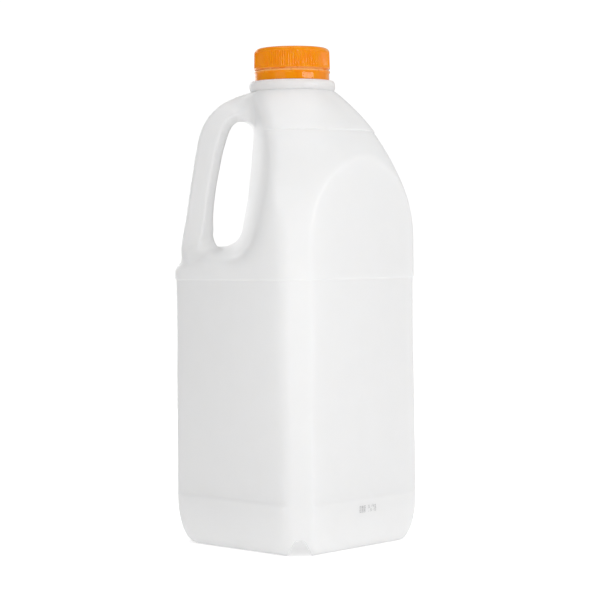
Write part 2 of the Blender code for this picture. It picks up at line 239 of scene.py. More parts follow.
@dataclass(frozen=True)
class BodyForm:
    """The outer form of the body without its handle, as a field that is zero on the surface.

    A level section is a square cut by a circle: the square sets the faces and the circle sets
    the corner facets. The circle shrinks along three arcs from the shoulder to the collar.
    """

    half_width: float = 50.8
    corner_radius: float = 64.6
    foot_half_width: float = 42.4
    foot_corner_radius: float = 54.6
    base_edge_height: float = 25.0
    ledge_depth: float = 0.45
    ledge_height: float = 1.0
    lower_ledge_height: float = 3.0
    lower_ledge: float = 27.5
    middle_ledge: float = 142.7
    upper_ledge: float = 220.8
    corner_waist: Pairs = (
        (27.5, 0.05), (50.0, 0.1), (95.0, 0.55), (113.0, 0.8), (142.7, 0.6),
    )
    cone_step: float = 0.8
    shoulder_start: float = 164.1
    lower_arc: float = 77.2
    upper_arc: float = 149.7
    cone_arc: float = 124.2
    arc_change_lean: float = math.radians(23.06)
    cone_start_lean: float = math.radians(36.7)
    cone_top: float = 242.9
    crown: float = 1.8
    crown_reach: float = 40.0
    crown_start: float = 27.5
    crown_full: float = 110.0
    edge_softness: float = 0.8
    grip_side_softness: float = 1.9      # what is added to it towards the handle's side
    handle_softness: float = 2.0         # and at the handle's own corner
    side_change: float = 5.0             # x over which the handle's side takes over, either way
    handle_corner_angle: float = math.radians(34.0)
    handle_corner_full: float = math.radians(12.0)
    least_facet_angle: float = math.radians(9.0)
    grip_rim: float = 147.0
    grip_rim_end: float = 154.0
    grip_floor: float = 152.4
    grip_corner_lean: float = 3.0
    hole_floor: float = 160.2
    floor_drop: float = 0.24
    floor_ridge: float = 4.0
    floor_fall: Range = (44.0, 60.0)     # where the floor goes down to the handle
    floor_softness: float = 2.0
    wall_opening_low: float = 9.0
    wall_opening_high: float = 10.6
    wall_change: Range = (180.0, 205.0)  # heights between the two openings
    wall_depth: float = 52.0
    wall_reach: float = 1.4              # farthest share of the depth that the scoop is followed to
    wall_round: float = 3.0              # round of the scoop at the parting plane
    wall_foot_softness: float = 10.0     # round between wall and floor at the parting plane
    wall_foot_spread: float = 0.1        # and how fast it grows across
    recess_softness: float = 5.5
    hole_right: Pairs = (
        (158.0, -30.2), (174.0, -27.0), (186.0, -24.8), (201.0, -23.0),
        (217.0, -21.5), (232.0, -21.6), (244.0, -22.9),
    )

    def label_zone(self, height: np.ndarray) -> np.ndarray:
        """1 between the lower and the middle ledge, where the wall stands back, and else 0.

        Args:
            height: Heights above the feet.

        Returns:
            The share at each height.
        """
        low, half = self.lower_ledge_height / 2, self.ledge_height / 2
        start = smooth_step(height, self.lower_ledge - low, self.lower_ledge + low)
        end = smooth_step(height, self.middle_ledge - half, self.middle_ledge + half)
        return start - end

    def base_edge(self, height: np.ndarray) -> np.ndarray:
        """How far the rounded base edge has come in: 0 above it and 1 at the floor."""
        rise = np.clip(1.0 - height / self.base_edge_height, 0.0, 1.0)
        return 1.0 - np.sqrt(1.0 - rise * rise)

    def shoulder(self, height: np.ndarray) -> np.ndarray:
        """How far the shoulder's arcs have come in.

        An arc of radius r that starts at lean a has come in by r (cos a - cos b) where
        sin b = sin a + climb / r.

        Args:
            height: Heights above the feet.

        Returns:
            Distances from the corner radius.
        """
        change_sine = math.sin(self.arc_change_lean)
        change = self.shoulder_start + self.lower_arc * change_sine
        sine = np.clip((height - self.shoulder_start) / self.lower_arc, 0.0, change_sine)
        drop = self.lower_arc * (1.0 - np.sqrt(1.0 - sine * sine))
        top_sine = change_sine + (self.upper_ledge - change) / self.upper_arc
        sine = np.clip(change_sine + (height - change) / self.upper_arc, change_sine, top_sine)
        drop += self.upper_arc * (math.cos(self.arc_change_lean) - np.sqrt(1.0 - sine * sine))
        start_sine = math.sin(self.cone_start_lean)
        climb = np.maximum(height - self.upper_ledge, 0.0)
        sine = np.minimum(start_sine + climb / self.cone_arc, 0.95)
        drop += self.cone_arc * (math.cos(self.cone_start_lean) - np.sqrt(1.0 - sine * sine))
        half = self.ledge_height / 2
        proud = smooth_step(height, self.upper_ledge - half, self.upper_ledge + half)
        return drop - self.cone_step * proud

    def corner(self, height: np.ndarray) -> np.ndarray:
        """Distance from the axis to the corner facets.

        Args:
            height: Heights above the feet.

        Returns:
            Distances in millimetres.
        """
        spread = self.corner_radius - self.foot_corner_radius
        edge = spread * self.base_edge(height)
        heights, depths = np.array(self.corner_waist).T
        waist = np.interp(height, heights, depths) * self.label_zone(height)
        return self.corner_radius - edge - waist - self.shoulder(height)

    def face(self, height: np.ndarray) -> np.ndarray:
        """Distance from the axis to the faces.

        Args:
            height: Heights above the feet.

        Returns:
            Distances in millimetres.
        """
        spread = self.half_width - self.foot_half_width
        back = self.ledge_depth * self.label_zone(height)
        return self.half_width - spread * self.base_edge(height) - back

    def bulge(self, across: np.ndarray, height: np.ndarray) -> np.ndarray:
        """How far a face stands out at a distance from its middle: crown x (1 - t^2).

        Args:
            across: Distances from the face's middle.
            height: Heights above the feet.

        Returns:
            How far the face stands out.
        """
        share = np.minimum(np.abs(across) / self.crown_reach, 1.0)
        rise = smooth_step(height, self.crown_start, self.crown_full)
        return self.crown * rise * (1.0 - share * share)

    def outer(self, x: np.ndarray, y: np.ndarray, z: np.ndarray) -> np.ndarray:
        """The field of the outer form, before the grip recess is taken away.

        Args:
            x: Places along X.
            y: Places along Y.
            z: Heights.

        Returns:
            Values below zero inside and above zero outside.
        """
        radius = np.hypot(x, y)
        ahead = np.clip(-x / np.maximum(radius, 1.0), 0.0, 1.0)
        at_handle = smooth_step(ahead, math.cos(self.handle_corner_angle),
                                math.cos(self.handle_corner_full))
        grip = smooth_step(z, self.grip_rim, self.grip_rim_end)
        lean = self.grip_corner_lean * grip
        to_side = smooth_step(-x, -self.side_change, self.side_change)
        softness = self.edge_softness + self.grip_side_softness * to_side
        softness = softness + self.handle_softness * at_handle * grip
        flat = (np.abs(x) + np.abs(y)) / ROOT_TWO - self.face(z)
        flat = flat - self.bulge((np.abs(x) - np.abs(y)) / ROOT_TWO, z)
        return soft_max(flat, radius - self.corner(z) + lean * at_handle, softness)

    def wall(self, y: np.ndarray, z: np.ndarray) -> np.ndarray:
        """x of the recess wall: a scoop that opens towards both faces.

        Args:
            y: Distances from the parting plane.
            z: Heights.

        Returns:
            x of the wall, the hole's right edge plus an opening of (u + u^2) / 2, where u is
            the depth's share of the whole.
        """
        heights, places = np.array(self.hole_right).T
        across = np.hypot(y, self.wall_round) - self.wall_round
        share = np.minimum(across, self.wall_depth * self.wall_reach) / self.wall_depth
        low = self.wall_opening_low
        opening = low + (self.wall_opening_high - low) * smooth_step(z, *self.wall_change)
        return np.interp(z, heights, places) + opening * (share + share * share) / 2

    def floor(self, x: np.ndarray, y: np.ndarray) -> np.ndarray:
        """Height of the recess floor: a low ridge that falls to both faces and to the handle.

        Args:
            x: Places along X.
            y: Places along Y.

        Returns:
            Heights of the floor.
        """
        fall = self.floor_drop * (np.hypot(y, self.floor_ridge) - self.floor_ridge)
        fall = fall + (self.hole_floor - self.grip_floor) * smooth_step(-x, *self.floor_fall)
        return soft_max(self.hole_floor - fall, self.grip_floor + 0.0 * fall, self.floor_softness)

    def field(self, x: np.ndarray, y: np.ndarray, z: np.ndarray) -> np.ndarray:
        """The field of the body: the outer form with the grip recess taken away.

        Args:
            x: Places along X.
            y: Places along Y.
            z: Heights.

        Returns:
            Values below zero inside and above zero outside.
        """
        foot_softness = self.wall_foot_softness + self.wall_foot_spread * np.abs(y)
        recess = soft_max(x - self.wall(y, z), self.floor(x, y) - z, foot_softness)
        return soft_max(self.outer(x, y, z), -recess, self.recess_softness)

    def facet_half_angle(self, height: np.ndarray) -> np.ndarray:
        """Half the angle that a corner facet takes up, seen from the axis.

        Args:
            height: Heights above the feet.

        Returns:
            Half angles in radians.
        """
        radius, flat = self.corner(height), self.face(height)
        across = np.sqrt(np.maximum(radius ** 2 - flat ** 2, 0.0))
        for _ in range(5):
            out = flat + self.bulge(across, height)
            across = np.sqrt(np.maximum(radius ** 2 - out ** 2, 0.0))
        return math.pi / 4 - np.maximum(np.arctan2(across, out), self.least_facet_angle)

    def recess_rim_angle(self, height: np.ndarray) -> np.ndarray:
        """Angle past the Y axis at which the recess wall meets the circle of the shoulder.

        Args:
            height: Heights above the feet.

        Returns:
            Angles in radians.
        """
        radius = self.corner(height)
        depth = radius
        for _ in range(6):
            across = np.minimum(self.wall(depth, height), -1.0)
            depth = np.sqrt(np.maximum(radius * radius - across * across, 1.0))
        return np.arctan2(-across, depth)


@dataclass(frozen=True)
class Underside:
    """The underside: an arched channel out under each corner, and a raised middle."""

    channel_height: float = 8.6
    channel_top: float = 1.4
    channel_foot: float = 7.7
    dish_height: float = 5.2
    dish_top: float = 25.0
    dish_foot: float = 31.0
    softness: float = 0.9

    def lift(self, x: np.ndarray, y: np.ndarray, z: np.ndarray) -> np.ndarray:
        """Raise the surface into the channels and the middle.

        Args:
            x: Places along X.
            y: Places along Y.
            z: Heights of the plain base.

        Returns:
            Heights of the finished base, the highest of the base, the channels and the middle.
        """
        fall_x = smooth_step(np.abs(y), self.channel_top, self.channel_foot)
        fall_y = smooth_step(np.abs(x), self.channel_top, self.channel_foot)
        away = smooth_step(np.hypot(x, y), self.dish_top, self.dish_foot)
        below = 2.0 * self.softness
        channels = self.channel_height - (self.channel_height + below) * fall_x * fall_y
        middle = self.dish_height - (self.dish_height + below) * away
        raised = soft_max(channels, middle, self.softness)
        return soft_max(z, raised, self.softness)


@dataclass(frozen=True)
class HandleForm:
    """The handle, a corner-shaped section carried between an outer and an inner edge.

    From the narrow outer edge a flank slants out to a ridge on each side, and a shorter one
    slants back in to the narrower side that faces the hole.
    """

    stations: tuple[tuple[float, float, float, float], ...] = (
        (-62.0, 152.5, -35.0, 156.6),
        (-61.3, 157.5, -43.2, 164.6),
        (-60.4, 164.5, -43.7, 169.5),
        (-58.3, 175.6, -43.6, 178.5),
        (-56.0, 190.3, -42.2, 190.3),
        (-54.2, 201.2, -40.1, 201.2),
        (-52.4, 211.4, -37.9, 211.4),
        (-50.4, 220.4, -35.4, 219.6),
        (-46.8, 228.4, -33.2, 224.6),
        (-40.6, 235.2, -30.9, 226.9),
        (-33.2, 239.6, -28.2, 227.7),
        (-25.9, 242.3, -23.6, 224.8),
    )
    first: float = 1.2
    last: float = 9.7
    sections: int = 90
    ridge_half_width: float = 11.0
    ridge_share: float = 0.71
    ridge_farthest: float = 11.0
    edge_half_width: float = 3.0
    inner_half_width: float = 6.5
    edge_round: float = 2.6
    ridge_round: float = 1.6
    inner_round: float = 2.2

    round_steps: int = 6
    straight_steps: tuple[int, int, int, int] = (1, 11, 4, 4)

    def outline(self, reach: np.ndarray) -> np.ndarray:
        """Half of each section, from the middle of its outer edge to the middle of its inner one.

        It is a line through five points, with each of the three corners between rounded off by
        the curve (1-t)^2 a + 2t(1-t) corner + t^2 b, where a and b lie a round's length away.

        Args:
            reach: Distance between the two edges in each section.

        Returns:
            Distances inwards and across, shaped (sections, points, 2).
        """
        none = 0.0 * reach
        ridge = np.minimum(self.ridge_share * reach, self.ridge_farthest)
        across = [0.0, self.edge_half_width, self.ridge_half_width, self.inner_half_width, 0.0]
        inwards = [none, none, ridge, reach, reach]
        points = [np.stack([place, none + half], -1) for place, half in zip(inwards, across)]
        rounds = (self.edge_round, self.ridge_round, self.inner_round)
        turn = np.linspace(0.0, 1.0, self.round_steps + 1)[None, :, None]
        pieces = [points[0][:, None, :]]
        for before, corner, after, cut in zip(points, points[1:], points[2:], rounds):
            start = corner + cut * unit(before - corner)
            end = corner + cut * unit(after - corner)
            start, end, corner = start[:, None, :], end[:, None, :], corner[:, None, :]
            pieces.append((1 - turn) ** 2 * start + 2 * turn * (1 - turn) * corner + turn ** 2 * end)
        pieces.append(points[-1][:, None, :])
        line = np.concatenate(pieces, 1)
        stops = [(0.0, 0)]
        for number, straight in enumerate(self.straight_steps):
            stops.append((number * (self.round_steps + 1) + 1.0, straight))
            stops.append(((number + 1) * (self.round_steps + 1.0), self.round_steps))
        place = steps_between(stops[:-1])
        start = np.minimum(place.astype(int), line.shape[1] - 2)
        share = (place - start)[None, :, None]
        return line[:, start] * (1.0 - share) + line[:, start + 1] * share

    def rings(self, sides: int, flanks: int) -> np.ndarray:
        """Sections of the handle, each its outline carried to its place and mirrored.

        A point is the outer edge, plus the distance inwards along the way to the inner edge,
        plus or minus the distance across.

        Args:
            sides: Steps across the outer side, and across the inner one.
            flanks: Steps along each flank.

        Returns:
            Points shaped (sections, 2 sides + 2 flanks, 3).
        """
        place = np.linspace(self.first, self.last, self.sections)
        edges = catmull_rom(np.array(self.stations), place)
        outer = np.stack([edges[:, 0], 0 * place, edges[:, 1]], 1)
        inner = np.stack([edges[:, 2], 0 * place, edges[:, 3]], 1)
        reach = np.linalg.norm(inner - outer, axis=1)
        half = self.outline(reach)
        turn, last = sides // 2, sides + flanks
        steps = [np.arange(turn, -1, -1), np.arange(1, last + 1), np.arange(last - 1, turn, -1)]
        side = np.repeat([1.0, -1.0, 1.0], [len(run) for run in steps])
        half = half[:, np.concatenate(steps)]
        way = ((inner - outer) / reach[:, None])[:, None, :]
        across = (half[..., 1] * side)[..., None] * np.array([0.0, 1.0, 0.0])
        return outer[:, None, :] + half[..., :1] * way + across


@dataclass
class Column:
    """Where each column of the body's grid runs: between two edges that move with height."""

    facet_steps: int = 20
    face_steps: int = 36
    facet_crowding: float = 0.45
    face_crowding: float = 0.72
    root_angles: Range = (math.radians(17.0), math.radians(35.0))
    root_heights: Range = (163.0, 221.0)     # where the roots reach those angles
    root_change: Range = (143.6, 151.5)      # where the facet widens to the root
    glow_with_painted_shade: np.ndarray = field(init=False)
    count: int = field(init=False)
    handle_middle: int = field(init=False)

    def __post_init__(self) -> None:
        """Lay out the columns, from the middle of the +X facet all the way round."""
        facet = crowded(self.facet_steps, self.facet_crowding)
        face = crowded(self.face_steps, self.face_crowding)
        plain, recess, handle = Reach.PLAIN.value, Reach.RECESS.value, Reach.HANDLE.value
        before = [plain, plain, handle, recess]      # what each corner's edges follow
        after = [plain, recess, handle, plain]
        rows = []
        for corner in range(4):
            following = (corner + 1) % 4
            for share in facet:
                rows.append((corner, -1, before[corner], corner, 1, after[corner], share))
            for share in face:
                rows.append((corner, 1, after[corner], corner + 1, -1, before[following], share))
        glow_with_painted_shade = np.roll(np.array(rows, float), -self.facet_steps // 2, axis=0)
        self.glow_with_painted_shade = glow_with_painted_shade
        self.count = len(glow_with_painted_shade)
        self.handle_middle = 2 * (self.facet_steps + self.face_steps)

    def angles(self, form: BodyForm, height: np.ndarray) -> np.ndarray:
        """Angle of each column at given heights.

        Args:
            form: The body's form.
            height: Heights, whose last axis runs over the columns.

        Returns:
            Angles round the axis, in radians.
        """
        plain = form.facet_half_angle(height)
        recess = np.minimum(plain, form.recess_rim_angle(height))
        low, high = self.root_angles
        root = low + (high - low) * smooth_step(height, *self.root_heights)
        handle = plain + (root - plain) * smooth_step(height, *self.root_change)
        reaches = np.stack([plain, recess, handle])
        first, first_side, first_kind, second, second_side, second_kind, share = self.glow_with_painted_shade.T
        start_reach = np.take_along_axis(reaches, self._kinds(first_kind, height), 0)[0]
        end_reach = np.take_along_axis(reaches, self._kinds(second_kind, height), 0)[0]
        start = first * math.pi / 2 + first_side * start_reach
        end = second * math.pi / 2 + second_side * end_reach
        return start + (end - start) * share

    @staticmethod
    def _kinds(kind: np.ndarray, height: np.ndarray) -> np.ndarray:
        """Spread each column's kind over the heights, for picking its reach."""
        return np.broadcast_to(kind.astype(int), height.shape)[None]


@dataclass
class BottleSkin:
    """The bottle's outer surface: the body's grid, with the handle grown out of it."""

    form: BodyForm = field(default_factory=BodyForm)
    handle: HandleForm = field(default_factory=HandleForm)
    underside: Underside = field(default_factory=Underside)
    columns: Column = field(default_factory=Column)
    trace_step: float = 0.25
    trace_length: float = 190.0      # the longest way up a column
    trace_over: float = 0.3          # how far past the cone's top it goes
    ledge_margin: float = 0.2        # rows are laid this far past a ledge's slope
    search: Range = (10.0, 80.0)     # radii between which the surface lies
    halvings: int = 40
    # Rows from the recess's start up: how far along the surface, and how many steps to get there.
    # 1 is the foot of the upper ledge, 2 its top and 3 the cone's top.
    upper_stops: Stops = (
        (0.0, 0), (0.72, 54), (0.90, 24), (1.0, 7), (2.0, 8), (3.0, 19),
    )
    edge_stops: Stops = ((0.0, 0), (45.0, 22), (90.0, 12))       # degrees round the base edge
    under_stops: Stops = ((0.04, 0), (0.40, 8), (0.66, 18), (0.985, 12))
    recess_start: float = 146.0
    root_start: float = 149.8
    root_rows: int = 18              # rows of the grid that each of the handle's roots takes up
    root_fillet_rows: int = 9
    neck_radius: float = 17.8
    neck_top: float = 263.6
    collar_radius: float = 23.3
    collar_base: float = 243.3
    collar_top: float = 248.7
    collar_rounding: float = 1.9
    collar_turn: float = 60.0        # degrees that its profile turns, up and down
    collar_steps: int = 12
    collar_brim: float = 21.2
    neck_edge: float = 0.4
    lip_radius: float = 9.0
    relax_rounds: int = 9
    top_weight: float = 0.4          # share that the top root's outer side takes in relaxing
    loop_weight: float = 0.7         # and the loops where the roots leave the body

    def on_columns(self, radius: np.ndarray, height: np.ndarray) -> np.ndarray:
        """The body's field at a radius and a height on each column."""
        angle = self.columns.angles(self.form, height)
        return self.form.field(radius * np.cos(angle), radius * np.sin(angle), height)

    def slopes(self, radius: np.ndarray, height: np.ndarray) -> tuple[np.ndarray, np.ndarray]:
        """How the field changes along the radius and along the height.

        Args:
            radius: Distances from the axis, whose last axis runs over the columns.
            height: Heights, shaped the same.

        Returns:
            The two slopes, from differences over a tiny step either way.
        """
        tiny = 1e-3
        along = self.on_columns(radius + tiny, height) - self.on_columns(radius - tiny, height)
        up = self.on_columns(radius, height + tiny) - self.on_columns(radius, height - tiny)
        return along / (2 * tiny), up / (2 * tiny)

    def settle(self, radius: np.ndarray, height: np.ndarray) -> tuple[np.ndarray, np.ndarray]:
        """Move points square to the surface until the field is zero (Newton's rule).

        Args:
            radius: Distances from the axis, whose last axis runs over the columns.
            height: Heights, shaped the same.

        Returns:
            The settled distances and heights.
        """
        for _ in range(2):
            along, up = self.slopes(radius, height)
            step = self.on_columns(radius, height) / np.maximum(along ** 2 + up ** 2, 1e-6)
            radius = radius - step * along
            height = height - step * up
        return radius, height

    def radius_at(self, height: np.ndarray) -> np.ndarray:
        """Distance from the axis to the surface at given heights, by halving.

        Args:
            height: Heights, whose last axis runs over the columns.

        Returns:
            Distances from the axis.
        """
        low, high = (np.full(height.shape, end) for end in self.search)
        for _ in range(self.halvings):
            middle = (low + high) / 2
            inside = self.on_columns(middle, height) < 0
            low = np.where(inside, middle, low)
            high = np.where(inside, high, middle)
        return (low + high) / 2

    def trace(self) -> tuple[np.ndarray, np.ndarray]:
        """Follow the surface up every column, from the label zone to the collar.

        Each step goes square to the field's slope and is settled back on the surface, so
        the line runs up a face, in over the recess floor and up the recess wall alike.

        Returns:
            Radius and height, each shaped (steps, columns), evenly spaced along the surface.
        """
        height = np.full(self.columns.count, self.recess_start)
        radius = self.radius_at(height)
        radii = [radius]
        heights = [height]
        for _ in range(int(self.trace_length / self.trace_step)):
            along, up = self.slopes(radius, height)
            size = np.hypot(along, up)
            radius = radius - self.trace_step * up / size
            height = height + self.trace_step * along / size
            radius, height = self.settle(radius, height)
            radii.append(radius)
            heights.append(height)
            if height.min() > self.form.cone_top + self.trace_over:
                break
        return np.array(radii), np.array(heights)

    def upper_rows(self) -> tuple[np.ndarray, np.ndarray]:
        """Rows of the grid from the recess's start to the collar.

        Returns:
            Radius and height, each shaped (rows, columns).
        """
        radii, heights = self.trace()
        half = self.form.ledge_height / 2 + self.ledge_margin
        marks = []
        for level in (self.form.upper_ledge - half, self.form.upper_ledge + half, self.form.cone_top):
            index = np.argmax(heights >= level, axis=0)
            below = np.take_along_axis(heights, index[None] - 1, 0)[0]
            above = np.take_along_axis(heights, index[None], 0)[0]
            marks.append(index - 1 + (level - below) / (above - below))
        stops = np.stack([np.zeros(self.columns.count)] + marks)
        shares = steps_between(self.upper_stops)
        start = np.minimum(shares.astype(int), 2)
        place = stops[start] + (stops[start + 1] - stops[start]) * (shares - start)[:, None]
        index = np.minimum(place.astype(int), len(radii) - 2)
        share = place - index
        radius = self._between(radii, index, share)
        height = self._between(heights, index, share)
        return self.settle(radius, height)

    @staticmethod
    def _between(values: np.ndarray, index: np.ndarray, share: np.ndarray) -> np.ndarray:
        """Read traced values between two steps.

        Args:
            values: One value for each step and column.
            index: The step before each place.
            share: How far each place lies on towards the next step.

        Returns:
            The values read.
        """
        low = np.take_along_axis(values, index, 0)
        high = np.take_along_axis(values, index + 1, 0)
        return low + (high - low) * share

    def lower_rows(self) -> tuple[np.ndarray, np.ndarray]:
        """Rows of the grid from the floor to the recess's start.

        Returns:
            Radius and height, each shaped (rows, columns).
        """
        form = self.form
        turn = np.radians(steps_between(self.edge_stops))
        edge = form.base_edge_height * (1.0 - np.cos(turn))
        half = form.ledge_height / 2 + self.ledge_margin
        stops = [(form.base_edge_height, 0), (form.lower_ledge - half, 4)]
        stops += [(form.lower_ledge + half, 8), (form.middle_ledge - half, 46)]
        stops += [(form.middle_ledge + half, 8), (self.recess_start, 2)]
        levels = np.concatenate([edge, steps_between(stops)[1:]])[:-1]
        height = np.repeat(levels[:, None], self.columns.count, axis=1)
        return self.radius_at(height), height

    def underside_rows(self, radius: np.ndarray) -> tuple[np.ndarray, np.ndarray]:
        """Rows of the flat underside, from near the axis out to the rounded edge.

        Args:
            radius: Distance to the rounded edge on each column.

        Returns:
            Radius and height, each shaped (rows, columns).
        """
        share = steps_between(self.under_stops)
        rows = share[:, None] * radius[None, :]
        return rows, np.zeros(rows.shape)

    def collar_rows(self) -> tuple[np.ndarray, np.ndarray]:
        """Rows of the collar's rounded ring and of the neck under the cap.

        Returns:
            Radius and height, each shaped (rows, columns).
        """
        turn = np.radians(np.linspace(-self.collar_turn, self.collar_turn, self.collar_steps + 1))
        middle = (self.collar_base + self.collar_top) / 2
        half = (self.collar_top - self.collar_base) / 2
        ring = self.collar_radius + self.collar_rounding * (np.cos(turn) - 1.0)
        rise = middle + half * np.sin(turn) / math.sin(math.radians(self.collar_turn))
        neck, cut = self.neck_radius, self.neck_edge
        above = np.array([
            (self.collar_brim, self.collar_top), (neck + 0.5, self.collar_top),
            (neck, self.collar_top + cut), (neck, self.neck_top - cut),
            (neck - cut, self.neck_top), (self.lip_radius, self.neck_top),
        ])
        count = self.columns.count
        ring, rise = np.concatenate([ring, above[:, 0]]), np.concatenate([rise, above[:, 1]])
        return np.repeat(ring[:, None], count, 1), np.repeat(rise[:, None], count, 1)

    def body_grid(self) -> tuple[np.ndarray, int, int]:
        """Points of the whole grid, from the middle of the underside to the top of the neck.

        Returns:
            Points shaped (rows, columns, 3), and the first and last of the traced rows.
        """
        low_radius, low_height = self.lower_rows()
        under_radius, under_height = self.underside_rows(low_radius[0])
        high_radius, high_height = self.upper_rows()
        top_radius, top_height = self.collar_rows()
        first_traced = len(under_radius) + len(low_radius)
        radius = np.concatenate([under_radius, low_radius, high_radius, top_radius])
        height = np.concatenate([under_height, low_height, high_height, top_height])
        level = np.clip(height, 0.0, self.form.cone_top)
        angle = self.columns.angles(self.form, level)
        points = np.stack([radius * np.cos(angle), radius * np.sin(angle), height], -1)
        points[..., 2] = self.underside.lift(points[..., 0], points[..., 1], points[..., 2])
        return points, first_traced, first_traced + len(high_radius) - 1

    def root_loop(self, first: int, last: int) -> tuple[np.ndarray, np.ndarray]:
        """The grid positions round one root of the handle, its outer side first.

        Args:
            first: The row at the root's outer side.
            last: The row at its inner side.

        Returns:
            Rows and columns of the loop, and of their neighbours away from the root.
        """
        half = self.columns.facet_steps // 2
        left = self.columns.handle_middle - half
        right = self.columns.handle_middle + half
        step = 1 if last > first else -1
        across = np.arange(left, right)
        along = np.arange(first, last, step)
        rows = np.concatenate([0 * across + first, along, 0 * across + last, along[::-1] + step])
        columns = np.concatenate([across, 0 * along + right, across[::-1] + 1, 0 * along + left])
        sides, flanks = len(across), len(along)
        away_row = np.zeros(len(rows), int)
        away_column = np.zeros(len(rows), int)
        away_row[:sides + 1] = -step
        away_row[sides + flanks:2 * sides + flanks + 1] = step
        away_column[sides:sides + flanks + 1] = 1
        away_column[2 * sides + flanks:] = -1
        away_column[0] = -1
        loop = np.stack([rows, columns])
        return loop, loop + np.stack([away_row, away_column])

    def fillet(self, start: np.ndarray, start_way: np.ndarray, end: np.ndarray,
               end_way: np.ndarray) -> np.ndarray:
        """Rings between a loop on the body and one on the handle, along cubic Hermite curves.

        Args:
            start: The loop on one side.
            start_way: Unit directions in which the curves leave it.
            end: The loop on the other side.
            end_way: Unit directions in which the curves arrive there.

        Returns:
            The rings between the two loops, without the loops themselves.
        """
        share = (np.arange(1, self.root_fillet_rows) / self.root_fillet_rows)[:, None, None]
        span = np.linalg.norm(end - start, axis=1)[None, :, None]
        square, cube = share ** 2, share ** 3
        return (
            (2 * cube - 3 * square + 1) * start
            + (cube - 2 * square + share) * span * start_way
            + (3 * square - 2 * cube) * end
            + (cube - square) * span * end_way
        )

    def handle_tube(self, grid: np.ndarray, low: tuple[np.ndarray, np.ndarray],
                    high: tuple[np.ndarray, np.ndarray]) -> np.ndarray:
        """Rings of the handle, with the fillets that join both its roots to the body.

        A fillet leaves the body the way the grid runs there, and meets the handle the way the
        handle runs. On its outer side the top one arrives level, along +X.

        Args:
            grid: The body's points.
            low: The lower root's loop, and its neighbours away from the root.
            high: The same for the upper root.

        Returns:
            Points shaped (rings, sides, 3).
        """
        rings = self.handle.rings(self.columns.facet_steps, self.root_rows)
        low_points, high_points = grid[tuple(low[0])], grid[tuple(high[0])]
        low_way = unit(low_points - grid[tuple(low[1])])
        high_way = unit(grid[tuple(high[1])] - high_points)
        high_way[:self.columns.facet_steps + 1] = (1.0, 0.0, 0.0)
        low_fillet = self.fillet(low_points, low_way, rings[0], unit(rings[1] - rings[0]))
        high_fillet = self.fillet(rings[-1], unit(rings[-1] - rings[-2]), high_points, high_way)
        return np.concatenate([low_fillet, rings, high_fillet])

    def relaxing_share(self, number: int, tube: np.ndarray, low: np.ndarray,
                       high: np.ndarray) -> np.ndarray:
        """How much each vertex takes part in relaxing: the fillets in full, their ends less.

        Args:
            number: How many vertices there are.
            tube: The numbers of the handle's vertices, shaped (rings, sides).
            low: Those of the lower root's loop.
            high: Those of the upper root's loop.

        Returns:
            A share for each vertex.
        """
        fillets, across = self.root_fillet_rows, self.columns.facet_steps + 1
        share = np.zeros(number)
        share[tube[:fillets]] = 1.0
        share[tube[-fillets:]] = 1.0
        share[tube[-fillets:, :across]] = self.top_weight
        share[low] = self.loop_weight
        share[high[across:]] = self.loop_weight
        return share

    def build(self) -> bpy.types.Object:
        """Make the bottle's surface.

        The grid has a gap at each of the handle's roots, and the handle's tube closes both.

        Returns:
            The piece, one closed surface.
        """
        grid, first_traced, last_traced = self.body_grid()
        rows, count = grid.shape[:2]
        quads = ring_faces(rows, count)
        middle = self.columns.handle_middle
        heights = grid[first_traced:, middle, 2]
        low_outer = first_traced + int(np.argmax(heights > self.root_start))
        low_inner, high_inner = low_outer + self.root_rows, last_traced - self.root_rows
        half = self.columns.facet_steps // 2
        shown = np.ones((rows - 1, count), bool)
        shown[low_outer:low_inner, middle - half:middle + half] = False
        shown[high_inner:last_traced, middle - half:middle + half] = False

        low, high = self.root_loop(low_outer, low_inner), self.root_loop(last_traced, high_inner)
        tube = self.handle_tube(grid, low, high)
        steps, sides = tube.shape[:2]
        low_ids, high_ids = (loop[0] * count + loop[1] for loop, _ in (low, high))
        tube_ids = rows * count + np.arange(steps * sides).reshape(steps, sides)
        chain = np.concatenate([low_ids[None], tube_ids, high_ids[None]])
        after = np.roll(chain, -1, axis=1)
        tube_faces = np.stack([chain[:-1], after[:-1], after[1:], chain[1:]], -1).reshape(-1, 4)

        bottom = rows * count + steps * sides
        ends = np.array([[0.0, 0.0, self.underside.channel_height], [0.0, 0.0, self.neck_top]])
        points = np.concatenate([grid.reshape(-1, 3), tube.reshape(-1, 3), ends])
        faces = [
            quads[shown],
            tube_faces,
            fan_faces(np.arange(count), bottom, False),
            fan_faces((rows - 1) * count + np.arange(count), bottom + 1, True),
        ]
        share = self.relaxing_share(len(points), tube_ids, low_ids, high_ids)
        points = self.relax(points, np.concatenate([quads[shown], tube_faces]), share)
        return make_piece("bottle_skin", *self._drop_unused(points, faces))

    @staticmethod
    def _drop_unused(points: np.ndarray,
                     faces: list[np.ndarray]) -> tuple[np.ndarray, list[np.ndarray]]:
        """Leave out the vertices that no face uses, which lie inside the handle's roots.

        Args:
            points: All the vertices.
            faces: Arrays of faces, each with one face a row.

        Returns:
            The vertices that are left, and the faces with their new numbers.
        """
        used = np.zeros(len(points), bool)
        for group in faces:
            used[group.ravel()] = True
        number = np.cumsum(used) - 1
        return points[used], [number[group] for group in faces]

